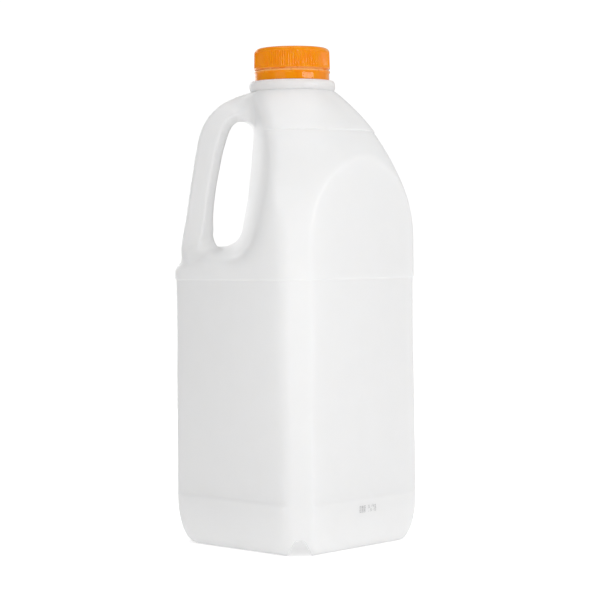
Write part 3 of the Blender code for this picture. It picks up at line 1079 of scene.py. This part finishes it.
    def relax(self, points: np.ndarray, quads: np.ndarray, weight: np.ndarray) -> np.ndarray:
        """Draw points towards the mean of their neighbours, half way each round.

        Args:
            points: The vertices.
            quads: The faces that say who neighbours whom.
            weight: How much each vertex takes part.

        Returns:
            The moved vertices.
        """
        edges = np.concatenate([quads[:, [side, (side + 1) % 4]] for side in range(4)])
        number = np.bincount(edges[:, 0], minlength=len(points)).astype(float)
        number = np.maximum(number, 1.0)[:, None]
        moved = points.copy()
        for _ in range(self.relax_rounds):
            total = np.stack([
                np.bincount(edges[:, 0], moved[edges[:, 1], axis], len(points)) for axis in range(3)
            ], 1)
            moved += 0.5 * weight[:, None] * (total / number - moved)
        return moved


# ---------------------------------------------------------------- the cap and the print

@dataclass
class ScrewCap:
    """The orange cap: a ribbed skirt, a slit with bridges, and a tamper band with a bead."""

    ribs: int = 100
    steps_per_rib: int = 10
    rib_depth: float = 0.38
    rib_base: float = 255.75
    rib_top: float = 264.5
    rib_fade: float = 0.7
    base: float = 249.0
    top: float = 266.5
    skirt_radius: float = 20.5
    skirt_taper: float = 0.2
    edge_radius: float = 2.3
    wall_radius: float = 18.4
    ceiling: float = 264.6
    slit_radius: float = 19.45
    bridges: int = 8
    bridge_turn: float = 9.0
    bridge_half_width: float = 0.45
    bridge_radius: float = 20.2
    notch_turn: float = 43.0
    notch_half_width: float = 0.55
    notch_depth: float = 0.5

    def profile(self) -> tuple[np.ndarray, np.ndarray, np.ndarray, np.ndarray]:
        """Half section of the cap, from the middle of its ceiling round to the middle of its top.

        Returns:
            Radii, heights, the share of each row that is bead, and the share that is slit.
        """
        inside = [
            (8.0, self.ceiling), (17.2, self.ceiling), (18.1, self.ceiling - 0.3),
            (self.wall_radius, self.ceiling - 1.0), (self.wall_radius, 257.0),
            (self.wall_radius, 249.5), (18.5, 249.12), (18.8, self.base), (19.65, self.base),
            (19.98, self.base + 0.03), (20.08, self.base + 0.12),
        ]
        band = [(20.1, 249.25), (20.1, 249.5), (20.1, 251.0), (20.1, 252.6), (20.11, 252.85),
                (20.2, 253.02)]
        bead = [(20.36, 253.15), (20.47, 253.35), (20.5, 253.65), (20.47, 253.95),
                (20.36, 254.2), (20.16, 254.42), (19.9, 254.55), (19.65, 254.62)]
        slit = [(self.slit_radius, 254.7), (self.slit_radius, 254.95), (self.slit_radius, 255.14)]
        lip = [(19.75, 255.18), (20.2, 255.2), (20.38, 255.3), (20.46, 255.5), (20.5, 255.7)]
        climb = steps_between([(0.0, 0), (0.1, 5), (0.9, 10), (1.0, 5)])
        edge_start = self.top - self.edge_radius
        skirt = np.stack([self.skirt_radius - self.skirt_taper * climb,
                          self.rib_base + (edge_start - self.rib_base) * climb], 1)
        turn = np.radians(np.linspace(0.0, 90.0, 12)[1:])
        shoulder = self.skirt_radius - self.skirt_taper - self.edge_radius
        edge = np.stack([shoulder + self.edge_radius * np.cos(turn),
                         self.top - self.edge_radius * (1.0 - np.sin(turn))], 1)
        lid = [(14.0, self.top), (7.0, self.top)]
        parts = [inside, band, bead, slit, lip, skirt, edge, lid]
        points = np.concatenate([np.array(part, float) for part in parts])
        counts = [len(part) for part in parts]
        kind = np.repeat(np.arange(len(parts)), counts)
        is_bead, is_slit = kind == 2, kind == 3      # their places among the parts
        return points[:, 0], points[:, 1], is_bead.astype(float), is_slit.astype(float)

    @staticmethod
    def spots(angle: np.ndarray, number: int, first: float, half_width: float) -> np.ndarray:
        """Even spots round the cap: 1 within the inner half of each width and 0 beyond it.

        Args:
            angle: Angles round the cap, in radians.
            number: How many spots.
            first: Angle of the first one, in degrees.
            half_width: Half of a spot's width, as an angle in radians.

        Returns:
            The spots' strength at each angle.
        """
        pitch = 2.0 * math.pi / number
        away = np.abs((angle - math.radians(first) + pitch / 2) % pitch - pitch / 2)
        return 1.0 - smooth_step(away, 0.5 * half_width, half_width)

    def build(self) -> bpy.types.Object:
        """Make the cap as a profile turned round the axis.

        The radius is the profile's, less the rib depth times (1 - cos(ribs x angle)) / 2 over
        the skirt, less the notches in the bead, and out to the bridges across the slit.

        Returns:
            The piece, one closed surface.
        """
        radius, height, bead, slit = self.profile()
        count = self.ribs * self.steps_per_rib
        angle = 2.0 * math.pi * np.arange(count) / count
        rise = smooth_step(height, self.rib_base, self.rib_base + self.rib_fade)
        fall = smooth_step(height, self.rib_top - self.rib_fade, self.rib_top)
        ribbed = (rise - fall) * (radius > self.slit_radius)
        wave = 0.5 - 0.5 * np.cos(self.ribs * angle)
        notch = self.spots(angle, self.bridges, self.notch_turn,
                           self.notch_half_width / self.skirt_radius)
        bridge = self.spots(angle, self.bridges, self.bridge_turn,
                            self.bridge_half_width / self.skirt_radius)
        far = radius[:, None] - self.rib_depth * ribbed[:, None] * wave
        far = far - self.notch_depth * bead[:, None] * notch
        far = far + (self.bridge_radius - radius)[:, None] * slit[:, None] * bridge
        points = np.stack([far * np.cos(angle), far * np.sin(angle),
                           np.repeat(height[:, None], count, 1)], -1)
        rows = len(points)
        poles = np.array([[0.0, 0.0, self.ceiling], [0.0, 0.0, self.top]])
        faces = [
            ring_faces(rows, count).reshape(-1, 4),
            fan_faces(np.arange(count), rows * count, False),
            fan_faces((rows - 1) * count + np.arange(count), rows * count + 1, True),
        ]
        return make_piece("cap_skin", np.concatenate([points.reshape(-1, 3), poles]), faces)


@dataclass
class DateCode:
    """A plain date and time in printed dots, on the right face just under the lower ledge."""

    lines: tuple[str, ...] = ("086 1:41", "085 .1:6")
    first_along: float = -5.2
    first_height: float = 23.2
    across_pitch: float = 0.42
    up_pitch: float = 0.34
    line_pitch: float = 1.9
    dot_radius: float = 0.17
    dot_height: float = 0.02
    dot_sides: int = 8
    marks: tuple[tuple[str, str], ...] = (
        ("0", "111101101101111"), ("1", "010110010010111"), ("4", "101101111001001"),
        ("5", "111100111001111"), ("6", "111100111101111"), ("8", "111101111101111"),
        (".", "000000000000010"), (":", "000010000010000"), (" ", "000000000000000"),
    )

    def dots(self) -> np.ndarray:
        """Places of all the dots: distance along the face, and height.

        Returns:
            Two numbers for each dot, in millimetres.
        """
        patterns = dict(self.marks)
        places = [
            (self.first_along + (4 * letter + cell % 3) * self.across_pitch,
             self.first_height - line * self.line_pitch - (cell // 3) * self.up_pitch)
            for line, words in enumerate(self.lines)
            for letter, sign in enumerate(words)
            for cell in range(15) if patterns[sign][cell] == "1"
        ]
        return np.array(places)

    def build(self, form: BodyForm) -> bpy.types.Object:
        """Lay a low dot on the wall at every place.

        A dot is a ring on the wall and a smaller ring a little above it, closed by a middle point.

        Args:
            form: The body's form, for the wall's place.

        Returns:
            The piece.
        """
        places = self.dots()
        turn = 2.0 * math.pi * np.arange(self.dot_sides) / self.dot_sides
        ring = np.stack([np.cos(turn), np.sin(turn), 0.0 * turn], 1)
        low = ring * self.dot_radius
        high = ring * self.dot_radius * 0.7 + np.array([0.0, 0.0, self.dot_height])
        middle = np.array([[0.0, 0.0, self.dot_height]])
        dot = np.concatenate([low - [0.0, 0.0, self.dot_height], high, middle])
        along = places[:, 0, None] + dot[None, :, 0]
        height = places[:, 1, None] + dot[None, :, 1]
        out = form.face(height) + form.bulge(along, height) + dot[None, :, 2]
        half = math.sqrt(0.5)
        points = np.stack([(out + along) * half, (along - out) * half, height], -1)
        sides = self.dot_sides
        first = np.arange(len(places))[:, None, None] * len(dot)
        walls = ring_faces(2, sides).reshape(1, -1, 4) + first
        tops = fan_faces(sides + np.arange(sides), 2 * sides, True)[None] + first
        backs = np.arange(sides)[::-1][None, None, :] + first
        faces = [walls.reshape(-1, 4), tops.reshape(-1, 3), backs.reshape(-1, sides)]
        return make_piece("date_code", points.reshape(-1, 3), faces)


# ---------------------------------------------------------------- finishes

class NodeBench:
    """Adds and joins the nodes of one tree."""

    def __init__(self, tree: bpy.types.NodeTree) -> None:
        """Keep the tree."""
        self.tree = tree

    def node(self, kind: str, settings: dict | None = None, **sockets: object) -> bpy.types.Node:
        """Add a node, set it, and join or set its inputs.

        Args:
            kind: The node's type, such as ShaderNodeMath.
            settings: Properties of the node.
            **sockets: Inputs by name, with underscores for spaces, or in0, in1 and so on by
                place: a socket to join, or a value.

        Returns:
            The node.
        """
        added = self.tree.nodes.new(kind)
        for name, value in (settings or {}).items():
            setattr(added, name, value)
        for name, value in sockets.items():
            by_place = name.startswith("in") and name[2:].isdigit()
            target = added.inputs[int(name[2:]) if by_place else name.replace("_", " ")]
            if isinstance(value, Socket):
                self.tree.links.new(value, target)
            else:
                target.default_value = value
        return added

    def work_out(self, operation: str, *values: object) -> Socket:
        """Add a Math node with the given operation and inputs, and return its output."""
        inputs = {f"in{place}": value for place, value in enumerate(values)}
        return self.node("ShaderNodeMath", {"operation": operation}, **inputs).outputs[0]

    def product(self, first: object, second: object) -> Socket:
        """Multiply two values."""
        return self.work_out("MULTIPLY", first, second)

    def total(self, first: object, second: object) -> Socket:
        """Add two values."""
        return self.work_out("ADD", first, second)

    def noise(self, place: Socket, scale: object, detail: float, roughness: float = 0.5) -> Socket:
        """Read a noise from 0 to 1.

        Args:
            place: Where to read it.
            scale: How fine it is, in waves per metre.
            detail: How many finer layers it has.
            roughness: How strong those layers are.

        Returns:
            The noise's socket.
        """
        return self.node("ShaderNodeTexNoise", None, Vector=place, Scale=scale, Detail=detail,
                         Roughness=roughness).outputs["Fac"]

    def effect(self, tree: bpy.types.NodeTree, place: Socket, **values: float) -> bpy.types.Node:
        """Place a shared effect, with its own values by name."""
        return self.node("ShaderNodeGroup", {"node_tree": tree}, Place=place, **values)

    def bump(self, height: Socket, strength: float, distance: float) -> Socket:
        """Make a normal from a height."""
        return self.node("ShaderNodeBump", None, Height=height, Strength=strength,
                         Distance=distance).outputs[0]

    def ramp(self, value: Socket, low: float, high: float, start: float, end: float) -> Socket:
        """Carry a value smoothly from the range low..high to start..end.

        Args:
            value: The value.
            low: Start of the range.
            high: End of the range.
            start: The result at low.
            end: The result at high.

        Returns:
            The result's socket.
        """
        settings = {"interpolation_type": "SMOOTHSTEP"}
        return self.node("ShaderNodeMapRange", settings, in0=value, in1=low, in2=high, in3=start,
                         in4=end).outputs[0]

    def mix(self, share: Socket, first: object, second: object) -> Socket:
        """Mix two colours."""
        added = self.node("ShaderNodeMix", {"data_type": "RGBA"}, in0=share, in6=first, in7=second)
        return added.outputs[2]


def open_group(name: str, numbers: dict[str, float],
               outputs: list[str]) -> tuple[NodeBench, dict[str, Socket], dict[str, Socket]]:
    """Start a node group with named sockets, of which Place is always one.

    Args:
        name: The group's name.
        numbers: Standing values of its other inputs, by name.
        outputs: Names of its outputs, all plain values.

    Returns:
        A bench for the group, and the sockets that its inputs and outputs give inside it.
    """
    tree = bpy.data.node_groups.new(name, "ShaderNodeTree")
    tree.interface.new_socket("Place", in_out="INPUT", socket_type="NodeSocketVector")
    for label, value in numbers.items():
        socket = tree.interface.new_socket(label, in_out="INPUT", socket_type="NodeSocketFloat")
        socket.default_value = value
    for label in outputs:
        tree.interface.new_socket(label, in_out="OUTPUT", socket_type="NodeSocketFloat")
    bench = NodeBench(tree)
    start, end = bench.node("NodeGroupInput").outputs, bench.node("NodeGroupOutput").inputs
    given = {label: start[label] for label in ["Place", *numbers]}
    return bench, given, {label: end[label] for label in outputs}


@dataclass(frozen=True)
class MouldedSurface:
    """What moulding leaves on a plastic wall: fine grain over broad, shallow waves."""

    name: str = "moulded_surface"

    def build(self) -> bpy.types.NodeTree:
        """Make the group: Height for a Bump node, and Tint and Gloss masks.

        Returns:
            The group's tree.
        """
        numbers = {"Grain Scale": 900.0, "Wave Scale": 28.0, "Grain Share": 0.3}
        bench, given, wanted = open_group(self.name, numbers, ["Height", "Tint", "Gloss"])
        place, share = given["Place"], given["Grain Share"]
        grain = bench.noise(place, given["Grain Scale"], 2.0, 0.6)
        wave = bench.noise(place, given["Wave Scale"], 1.0, 0.4)
        cloud = bench.noise(place, bench.product(given["Wave Scale"], 2.3), 3.0, 0.55)
        height = bench.total(bench.product(grain, share),
                             bench.product(wave, bench.work_out("SUBTRACT", 1.0, share)))
        bench.tree.links.new(height, wanted["Height"])
        bench.tree.links.new(bench.ramp(cloud, 0.3, 0.7, 0.0, 1.0), wanted["Tint"])
        bench.tree.links.new(bench.ramp(wave, 0.35, 0.65, 0.0, 1.0), wanted["Gloss"])
        return bench.tree


@dataclass(frozen=True)
class Handling:
    """Light rubs from crates and hands, in short strokes that come and go over a piece."""

    name: str = "handling"

    def build(self) -> bpy.types.NodeTree:
        """Make the group: a Rubs mask.

        Returns:
            The group's tree.
        """
        numbers = {"Stroke Scale": 220.0, "Patch Scale": 22.0, "Amount": 0.5}
        bench, given, wanted = open_group(self.name, numbers, ["Rubs"])
        place = given["Place"]
        stretched = bench.node("ShaderNodeMapping", None, Vector=place, Scale=(1.0, 1.0, 0.16))
        stroke = bench.noise(stretched.outputs[0], given["Stroke Scale"], 4.0, 0.7)
        patch = bench.noise(place, given["Patch Scale"], 2.0)
        rubs = bench.product(bench.ramp(stroke, 0.58, 0.72, 0.0, 1.0),
                             bench.ramp(patch, 0.5, 0.66, 0.0, 1.0))
        bench.tree.links.new(bench.product(rubs, given["Amount"]), wanted["Rubs"])
        return bench.tree


@dataclass(frozen=True)
class PartingLine:
    """The fine raised line that the two halves of the mould leave all round, where y is zero."""

    name: str = "parting_line"

    def build(self) -> bpy.types.NodeTree:
        """Make the group: Line is 1 on the line and 0 a half width away.

        Returns:
            The group's tree.
        """
        bench, given, wanted = open_group(self.name, {"Half Width": 0.0003}, ["Line"])
        apart = bench.node("ShaderNodeSeparateXYZ", None, Vector=given["Place"]).outputs["Y"]
        share = bench.work_out("DIVIDE", bench.work_out("ABSOLUTE", apart), given["Half Width"])
        bench.tree.links.new(bench.ramp(share, 0.0, 1.0, 1.0, 0.0), wanted["Line"])
        return bench.tree


@dataclass(frozen=True)
class SharedEffects:
    """The node groups that the finishes share."""

    moulded: bpy.types.NodeTree
    handling: bpy.types.NodeTree
    parting: bpy.types.NodeTree

    @classmethod
    def make(cls) -> "SharedEffects":
        """Build every group once."""
        return cls(MouldedSurface().build(), Handling().build(), PartingLine().build())


def start_material(name: str) -> tuple[bpy.types.Material, NodeBench, Socket]:
    """Start a material with an empty tree.

    Args:
        name: The material's name.

    Returns:
        The material, a bench for its tree, and its Object coordinates.
    """
    material = bpy.data.materials.new(name)
    material.use_nodes = True
    material.node_tree.nodes.clear()
    bench = NodeBench(material.node_tree)
    place = bench.node("ShaderNodeTexCoord").outputs["Object"]
    return material, bench, place


def finish_material(bench: NodeBench, constants: dict[str, object], **sockets: object) -> None:
    """End a material's tree with a Principled BSDF and the output.

    Args:
        bench: The material's bench.
        constants: Values set on the shader's own sockets.
        **sockets: Sockets joined to the shader's inputs, by name with underscores.
    """
    shader = bench.node("ShaderNodeBsdfPrincipled", None, **sockets)
    for name, value in constants.items():
        shader.inputs[name].default_value = value
    bench.node("ShaderNodeOutputMaterial", None, Surface=shader.outputs[0])


@dataclass(frozen=True)
class MilkyPlastic:
    """Natural polyethylene over milk: white, softly glossy, lit a little from within."""

    name: str = "milky_plastic_fine"
    clear: Colour = (0.897, 0.897, 0.897, 1.0)
    cloudy: Colour = (0.889, 0.889, 0.888, 1.0)
    line: Colour = (0.850, 0.850, 0.850, 1.0)
    roughness: Range = (0.30, 0.37)
    rubbed: float = 0.18        # what a full rub adds to the roughness

    def build(self, effects: SharedEffects) -> bpy.types.Material:
        """Make the material.

        Args:
            effects: The shared node groups.

        Returns:
            The material.
        """
        material, bench, place = start_material(self.name)
        moulded = bench.effect(effects.moulded, place, Grain_Scale=1100.0, Wave_Scale=30.0,
                               Grain_Share=0.12).outputs
        rubs = bench.effect(effects.handling, place, Stroke_Scale=260.0, Patch_Scale=24.0,
                            Amount=0.6).outputs["Rubs"]
        line = bench.effect(effects.parting, place, Half_Width=0.0004).outputs["Line"]
        colour = bench.mix(moulded["Tint"], self.clear, self.cloudy)
        colour = bench.mix(bench.product(line, 0.5), colour, self.line)
        gloss = bench.ramp(moulded["Gloss"], 0.0, 1.0, *self.roughness)
        roughness = bench.total(gloss, bench.product(rubs, self.rubbed))
        height = bench.total(moulded["Height"], bench.product(line, 0.5))
        constants = {"IOR": 1.5, "Specular IOR Level": 0.45, "Subsurface Weight": 0.9,
                     "Subsurface Radius": (1.0, 0.98, 0.95), "Subsurface Scale": 0.010}
        finish_material(bench, constants, Base_Color=colour, Roughness=roughness,
                        Normal=bench.bump(height, 0.5, 0.0003))
        return material


@dataclass(frozen=True)
class OrangePlastic:
    """Bright orange polypropylene, glossy, with painted highlight dashes along the tamper slit."""

    name: str = "orange_plastic_fine"
    deep: Colour = (1.0, 0.28, 0.0, 1.0)
    bright: Colour = (1.0, 0.33, 0.0, 1.0)
    worn: Colour = (1.0, 0.38, 0.01, 1.0)
    # painted highlight: a paler orange that stands in for light on the bead and in the slit's shade
    strained: Colour = (1.0, 0.46, 0.14, 1.0)
    strain_low: float = 0.2537
    strain_high: float = 0.2552
    strain_fade: float = 0.0002
    roughness: Range = (0.07, 0.11)
    rubbed: float = 0.08        # what a full rub adds to the roughness

    def strain(self, bench: NodeBench, place: Socket) -> Socket:
        """Mask of the painted highlight: a belt along the slit between two heights, broken up by a
        slow noise.

        Args:
            bench: The material's node bench.
            place: Object coordinates.

        Returns:
            A value from 0 to 1.
        """
        height = bench.node("ShaderNodeSeparateXYZ", None, Vector=place).outputs["Z"]
        rise = bench.ramp(height, self.strain_low - self.strain_fade, self.strain_low, 0.0, 1.0)
        fall = bench.ramp(height, self.strain_high, self.strain_high + self.strain_fade, 1.0, 0.0)
        dashes = bench.ramp(bench.noise(place, 170.0, 1.0), 0.38, 0.48, 0.2, 1.0)
        return bench.product(bench.product(rise, fall), dashes)

    def build(self, effects: SharedEffects) -> bpy.types.Material:
        """Make the material.

        Args:
            effects: The shared node groups.

        Returns:
            The material.
        """
        material, bench, place = start_material(self.name)
        moulded = bench.effect(effects.moulded, place, Grain_Scale=1500.0, Wave_Scale=90.0,
                               Grain_Share=0.3).outputs
        rubs = bench.effect(effects.handling, place, Stroke_Scale=500.0, Patch_Scale=60.0,
                            Amount=0.5).outputs["Rubs"]
        colour = bench.mix(moulded["Tint"], self.deep, self.bright)
        colour = bench.mix(bench.product(rubs, 0.4), colour, self.worn)
        # painted highlight: pale dashes along the slit, lighter than the orange in the slit's shade
        colour = bench.mix(self.strain(bench, place), colour, self.strained)
        gloss = bench.ramp(moulded["Gloss"], 0.0, 1.0, *self.roughness)
        roughness = bench.total(gloss, bench.product(rubs, self.rubbed))
        constants = {"IOR": 1.49, "Specular IOR Level": 0.22, "Subsurface Weight": 0.15,
                     "Subsurface Radius": (1.0, 0.3, 0.05), "Subsurface Scale": 0.003}
        finish_material(bench, constants, Base_Color=colour, Roughness=roughness,
                        Normal=bench.bump(moulded["Height"], 0.12, 0.0001))
        return material


@dataclass(frozen=True)
class DotInk:
    """Dark printed ink, uneven in each dot."""

    name: str = "dot_ink"
    dense: Colour = (0.16, 0.16, 0.17, 1.0)
    thin: Colour = (0.42, 0.42, 0.43, 1.0)

    def build(self) -> bpy.types.Material:
        """Make the material.

        Returns:
            The material.
        """
        material, bench, place = start_material(self.name)
        spread = bench.noise(place, 1800.0, 2.0)
        colour = bench.mix(bench.ramp(spread, 0.35, 0.65, 0.0, 1.0), self.dense, self.thin)
        roughness = bench.ramp(spread, 0.3, 0.7, 0.5, 0.7)
        finish_material(bench, {"IOR": 1.45}, Base_Color=colour, Roughness=roughness)
        return material


@dataclass(frozen=True)
class StudioPaper:
    """The white sweep that the bottle stands on."""

    name: str = "studio_paper"
    tone: float = 0.9
    glow: float = 0.26
    # painted shadow: the glow that the camera sees is lower close to the bottle
    painted_shade_glow: float = 0.47
    far_glow: float = 0.80
    painted_shade_reach: float = 0.050
    painted_shade_end: float = 0.115

    def build(self) -> bpy.types.Material:
        """Make the material, glowing as a light table does, with a painted shadow in its glow at the
        bottle.

        Returns:
            The material.
        """
        material, bench, place = start_material(self.name)
        shade = (self.tone, self.tone, self.tone, 1.0)
        away = bench.node("ShaderNodeVectorMath", {"operation": "LENGTH"}, in0=place).outputs["Value"]
        # painted shadow: to the camera the floor glows less near the bottle, darkening it round the
        # foot
        glow_with_painted_shade = bench.ramp(away, self.painted_shade_reach, self.painted_shade_end, self.painted_shade_glow, self.far_glow)
        seen = bench.node("ShaderNodeLightPath").outputs["Is Camera Ray"]
        more = bench.product(seen, bench.work_out("SUBTRACT", glow_with_painted_shade, self.glow))
        glow = bench.total(self.glow, more)
        constants = {"Base Color": shade, "Roughness": 1.0, "Specular IOR Level": 0.0,
                     "Emission Color": (1.0, 1.0, 1.0, 1.0)}
        finish_material(bench, constants, Emission_Strength=glow)
        return material


# ---------------------------------------------------------------- the studio

@dataclass(frozen=True)
class Camera:
    """The camera: where it stands, where it looks and its lens, lengths in millimetres."""

    distance: float = 1040.4
    height: float = 160.7
    aside: float = 2.905
    turn: float = -0.02309
    tilt: float = 0.02881
    roll: float = 0.0113
    lens: float = 115.04
    sensor: float = 36.0

    def build(self) -> bpy.types.Object:
        """Make the camera and give it to the scene.

        Returns:
            The camera's object.
        """
        data = bpy.data.cameras.new("camera")
        data.lens = self.lens
        data.sensor_width = self.sensor
        data.clip_start, data.clip_end = 0.05, 20.0
        camera = bpy.data.objects.new("camera", data)
        sine, cosine = math.sin(self.turn), math.cos(self.turn)
        place = Vector((self.aside * cosine + self.distance * sine,
                        self.aside * sine - self.distance * cosine, self.height)) * MM
        upright = Matrix.Rotation(self.turn, 4, "Z") @ Matrix.Rotation(math.pi / 2 - self.tilt, 4, "X")
        camera.matrix_world = Matrix.Translation(place) @ upright @ Matrix.Rotation(-self.roll, 4, "Z")
        bpy.context.scene.collection.objects.link(camera)
        bpy.context.scene.camera = camera
        return camera


@dataclass(frozen=True)
class Softbox:
    """An area lamp that looks at the bottle's middle.

    The azimuth is counted from the camera's side towards the right. Lengths are in metres.
    """

    name: str
    azimuth: float
    elevation: float
    distance: float
    width: float
    height: float
    power: float

    def build(self, target: Vector) -> bpy.types.Object:
        """Make the lamp.

        Args:
            target: The point that it looks at.

        Returns:
            The lamp's object.
        """
        data = bpy.data.lights.new(self.name, "AREA")
        data.shape = "RECTANGLE"
        data.size, data.size_y = self.width, self.height
        data.energy = self.power
        lamp = bpy.data.objects.new(self.name, data)
        turn, rise = math.radians(self.azimuth), math.radians(self.elevation)
        way = Vector((math.sin(turn) * math.cos(rise), -math.cos(turn) * math.cos(rise),
                      math.sin(rise)))
        lamp.location = target + way * self.distance
        lamp.rotation_euler = way.to_track_quat("Z", "Y").to_euler()
        bpy.context.scene.collection.objects.link(lamp)
        return lamp


@dataclass
class Studio:
    """A white sweep, soft lamps and an even white surround."""

    floor_size: float = 16.0         # metres
    target: tuple[float, float, float] = (0.0, 0.0, 0.14)
    surround: float = 0.33
    backdrop: float = 1.05
    softboxes: tuple[Softbox, ...] = (
        Softbox("window", 42.0, 0.0, 0.50, 0.44, 0.30, 0.11),
        Softbox("window_bar", 49.0, 18.8, 0.50, 0.32, 0.045, 0.40),
        Softbox("front", 5.0, 35.0, 0.80, 0.50, 0.50, 0.18),
        Softbox("low_front", -8.0, 2.0, 0.24, 0.12, 0.20, 0.06),
        Softbox("near_left", -38.0, 25.0, 0.45, 0.25, 0.25, 0.20),
        Softbox("behind_left", -158.0, 12.0, 0.80, 0.50, 0.50, 1.07),
        Softbox("behind_right", 140.0, 25.0, 1.00, 0.70, 0.70, 0.63),
        Softbox("right", 95.0, 20.0, 1.00, 0.70, 0.70, 0.75),
        Softbox("top", 0.0, 85.0, 0.90, 0.80, 0.80, 3.00),
    )

    def build(self) -> None:
        """Set the floor, the surround and the lamps."""
        half = self.floor_size / 2 / MM
        corners = np.array([[-half, -half, 0.0], [half, -half, 0.0], [half, half, 0.0],
                            [-half, half, 0.0]])
        floor = make_piece("floor", corners, [np.arange(4)[None, :]])
        floor.data.materials.append(StudioPaper().build())
        self.surround_world()
        for softbox in self.softboxes:
            softbox.build(Vector(self.target))
        bpy.context.scene.view_settings.view_transform = "Standard"

    def surround_world(self) -> None:
        """Light the scene evenly, behind a backdrop that stays white."""
        world = bpy.data.worlds.new("surround")
        bpy.context.scene.world = world
        world.use_nodes = True
        world.node_tree.nodes.clear()
        bench = NodeBench(world.node_tree)
        seen = bench.node("ShaderNodeLightPath").outputs["Is Camera Ray"]
        strength = bench.total(self.surround, bench.product(seen, self.backdrop - self.surround))
        sky = bench.node("ShaderNodeBackground", None, Color=(1.0, 1.0, 1.0, 1.0), Strength=strength)
        bench.node("ShaderNodeOutputWorld", None, Surface=sky.outputs[0])


def dress(piece: bpy.types.Object, material: bpy.types.Material) -> None:
    """Give a piece its material, and let it ride on the bottle.

    Args:
        piece: The piece.
        material: Its material.
    """
    piece.data.materials.append(material)
    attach(piece, "root")
    LOG.info("%s: %d faces", piece.name, len(piece.data.polygons))


def main() -> None:
    """Build, dress and light the bottle."""
    logging.basicConfig(level=logging.INFO, format="%(name)s: %(message)s")
    effects = SharedEffects.make()
    bottle = BottleSkin()
    skin = bottle.build()
    dress(skin, MilkyPlastic().build(effects))
    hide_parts("bottle")
    cap = ScrewCap().build()
    dress(cap, OrangePlastic().build(effects))
    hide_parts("cap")
    dress(DateCode().build(bottle.form), DotInk().build())
    Studio().build()
    Camera().build()


if __name__ == "__main__":
    main()
